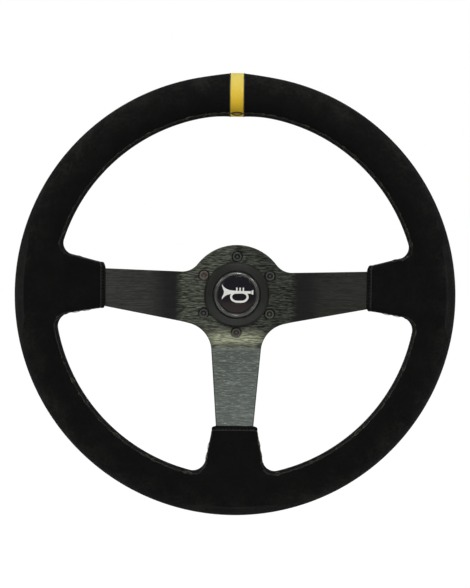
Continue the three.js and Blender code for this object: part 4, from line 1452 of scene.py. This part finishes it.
def make_cap():
    """The polished push cap round the lens: a rounded outer edge, a shallow valley and an inner lip."""
    low, top = rear_and_front("horn_button_cap")
    floor = 59.0
    lip_top = PLATE_FRONT - 0.1
    profile = rounded([(0, floor), (18.1, floor), (18.1, low), (21.1, low), (21.1, lip_top - 2),
                       (22.9, lip_top - 2), (22.9, lip_top), (21.1, lip_top), (21.1, top - 1.7, 0.6),
                       (20.3, top - 0.45, 1.2), (19.4, top, 1.2), (18.3, top - 0.2, 0.9),
                       (17.35, top - 1.6, 0.6), (17.35, floor + 2), (0, floor + 2)], 8)
    cap = revolved("horn_cap_polished", profile, 160, False, 40)
    fit_out(cap, "horn_gloss", "horn_gloss", "horn_button", "horn_button_cap")


def make_lens():
    dome = [(float(r), float(lens_height(r))) for r in np.linspace(0, LENS_RADIUS - 0.5, 24)]
    edge_height = lens_height(LENS_RADIUS)
    rim = [(LENS_RADIUS - 0.12, edge_height - 0.1), (LENS_RADIUS, edge_height - 0.45),
           (LENS_RADIUS, LENS_REAR), (0, LENS_REAR)]
    lens = revolved("horn_lens_domed", dome + rim, 128, False, 50)
    fit_out(lens, "horn_lens", "horn_lens", "horn_button", "horn_lens")


def raised_stroke(line, widths, closed):
    """A printed stroke on the lens: four corners of its section at each point of a line."""
    line, widths = np.asarray(line, float) * SIGN_SIZE, np.asarray(widths, float) * SIGN_SIZE
    ahead = np.roll(line, -1, axis=0) - np.roll(line, 1, axis=0) if closed else np.gradient(line, axis=0)
    ahead = unit_rows(ahead)
    aside = np.column_stack([-ahead[:, 1], ahead[:, 0]]) * widths[:, None]
    corners = []
    for side, raised in ((1, 0.10), (-1, 0.10), (-1, -0.15), (1, -0.15)):
        plan = line + side * aside
        corners.append(np.column_stack([plan, lens_height(np.hypot(*plan.T)) + raised]))
    return np.stack(corners, axis=1).reshape(-1, 3)


def make_horn_sign():
    """A plain horn sign on the lens: bell, tube, loop, mouthpiece and three valves."""
    bell_x = np.array([-9.0, -8.4, -7.4, -6.0, -4.2, -2.0, 2.0, 6.0, 8.6])
    bell_width = [4.6, 3.7, 2.7, 1.8, 1.25, 0.95, 0.8, 0.75, 0.75]
    turns = full_turn(40)
    wide = 5.0 * np.sign(np.cos(turns)) * np.abs(np.cos(turns)) ** 0.75
    strokes = [(np.column_stack([bell_x, np.full(9, 1.6)]), bell_width, False),
               (np.column_stack([1.6 + wide, -1.3 + 2.9 * np.sin(turns)]), np.full(40, 0.62), True),
               ([(8.9, 1.6), (9.5, 1.6), (10.1, 1.6)], [1.0, 1.25, 1.5], False)]
    strokes += [([(x, 2.4), (x, 3.4), (x, 4.4)], [0.42] * 3, False) for x in (0.0, 2.0, 4.0)]
    points, faces = [], []
    for line, widths, closed in strokes:
        base, count = len(points), len(line)
        points.extend(raised_stroke(line, widths, closed).tolist())
        rings = ring_faces(count, 4, closed)
        if not closed:
            rings += [list(range(4)), list(range(4 * count - 4, 4 * count))]
        faces.extend([base + corner for corner in face] for face in rings)
    sign = outward(mesh_object("horn_sign", points, faces, 30), 30)
    fit_out(sign, "horn_print", "horn_print", "horn_button")


def dress_plain_nodes():
    """CAD nodes that keep their own shape, with their finishes."""
    dressed = {
        "armature": ["rim_armature"],
        "horn_plastic": ["horn_base", "horn_emblem_disc"],
        "brass": ["horn_contact_ring", "horn_contact_plate", "horn_terminal_1", "horn_terminal_2"],
        "bright_steel": [f"spoke_rivet_{spoke['name']}_{number}" for spoke in SPOKES for number in (1, 2)],
    }
    for finish, nodes in dressed.items():
        for node in nodes:
            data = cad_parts[node].data
            data.materials.clear()
            data.materials.append(FINISHES[finish])


# ---- Studio ----
def make_camera():
    """In front of the wheel, a little above its middle. It looks a little to the right and is shifted back."""
    eye = Vector((5.7, -601.5, 15.8)) * MM
    ahead = Vector((math.tan(math.radians(0.5)), 1.0, -math.tan(math.radians(1.8))))
    roll = Matrix.Rotation(math.radians(0.77), 4, "Z")
    data = bpy.data.cameras.new("camera")
    data.sensor_width = 36.0
    data.lens = 36.09
    data.shift_x = -0.0223
    data.shift_y = 0.0037
    camera = linked("camera", data)
    camera.location = eye
    camera.rotation_euler = (ahead.to_track_quat("-Z", "Y").to_matrix().to_4x4() @ roll).to_euler()
    bpy.context.scene.camera = camera


def make_lights():
    """Rectangular lights that all face the horn: place, width, height and power in watts."""
    target = Vector((0, -0.08, 0))
    for name, place, width, height, power in (
            ("softbox above", (0.0, -0.75, 1.05), 0.9, 0.5, 4.0),
            ("softbox left", (-1.1, -0.9, 0.75), 0.45, 0.6, 2.5),
            ("softbox right", (1.1, -0.9, 0.75), 0.45, 0.6, 1.7),
            ("softbox behind", (-0.3, 1.3, 0.9), 0.9, 0.6, 5.0),
            ("strip above", (0.03, -0.80, 0.60), 0.15, 0.10, 3.0),
            ("strip left", (-0.52, -0.75, 0.40), 0.08, 0.08, 0.7),
            ("strip right", (0.44, -0.70, 0.46), 0.16, 0.10, 1.1)):
        data = bpy.data.lights.new(name, "AREA")
        data.energy = power
        data.shape = "RECTANGLE"
        data.size, data.size_y = width, height
        light = linked(name, data)
        light.location = place
        light.rotation_euler = (target - Vector(place)).to_track_quat("-Z", "Y").to_euler()


def floor_finish():
    """Pale paper that is lit to white, with the wheel's soft shadow on it."""
    look = Finish("floor pale")
    colour = look.mixed(look.noise(4.0), (0.90, 0.90, 0.90), (0.92, 0.92, 0.92))
    paper = look.node("ShaderNodeBsdfDiffuse", sockets={"Color": colour})
    glow = look.node("ShaderNodeEmission", sockets={"Color": (1, 1, 1, 1), "Strength": 1.04})
    seen = look.node("ShaderNodeLightPath", output="Is Camera Ray")
    lit = look.node("ShaderNodeMixShader", sockets={0: seen * 0.97, 1: paper, 2: glow})
    look.node("ShaderNodeOutputMaterial", sockets={"Surface": lit})
    return look.material


def make_room():
    """A dim white room, which the camera sees as plain white paper."""
    world = bpy.data.worlds.new("studio")
    world.use_nodes = True
    bpy.context.scene.world = world
    graph = Graph(world.node_tree)
    graph.tree.nodes.clear()
    seen = graph.node("ShaderNodeLightPath", output="Is Camera Ray")
    room, paper = (graph.node("ShaderNodeBackground", sockets={"Color": (1, 1, 1, 1), "Strength": strength})
                   for strength in (0.155, 1.0))
    both = graph.node("ShaderNodeMixShader", sockets={0: seen, 1: room, 2: paper})
    graph.node("ShaderNodeOutputWorld", sockets={"Surface": both})


def make_floor():
    """A square floor just under the rim."""
    reach = 6.0
    level = -(RIM_RADIUS + RIM_HALF_WIDTH + 6.0) * MM
    mesh = bpy.data.meshes.new("floor")
    mesh.from_pydata([(-reach, -reach, level), (reach, -reach, level), (reach, reach, level),
                      (-reach, reach, level)], [], [(0, 1, 2, 3)])
    mesh.materials.append(floor_finish())
    linked("floor", mesh)


# ---- The wheel ----
bpy.context.scene.view_settings.view_transform = "Standard"
make_camera()
make_room()
make_floor()
make_lights()
make_suede()
make_foam()
make_rim_seams()
make_hems()
make_marker()
make_plate()
make_screws()
make_column_hub()
make_coupler()
make_collar()
make_circlip()
make_balls()
make_springs()
make_trim_ring()
make_cap()
make_lens()
make_horn_sign()
dress_plain_nodes()
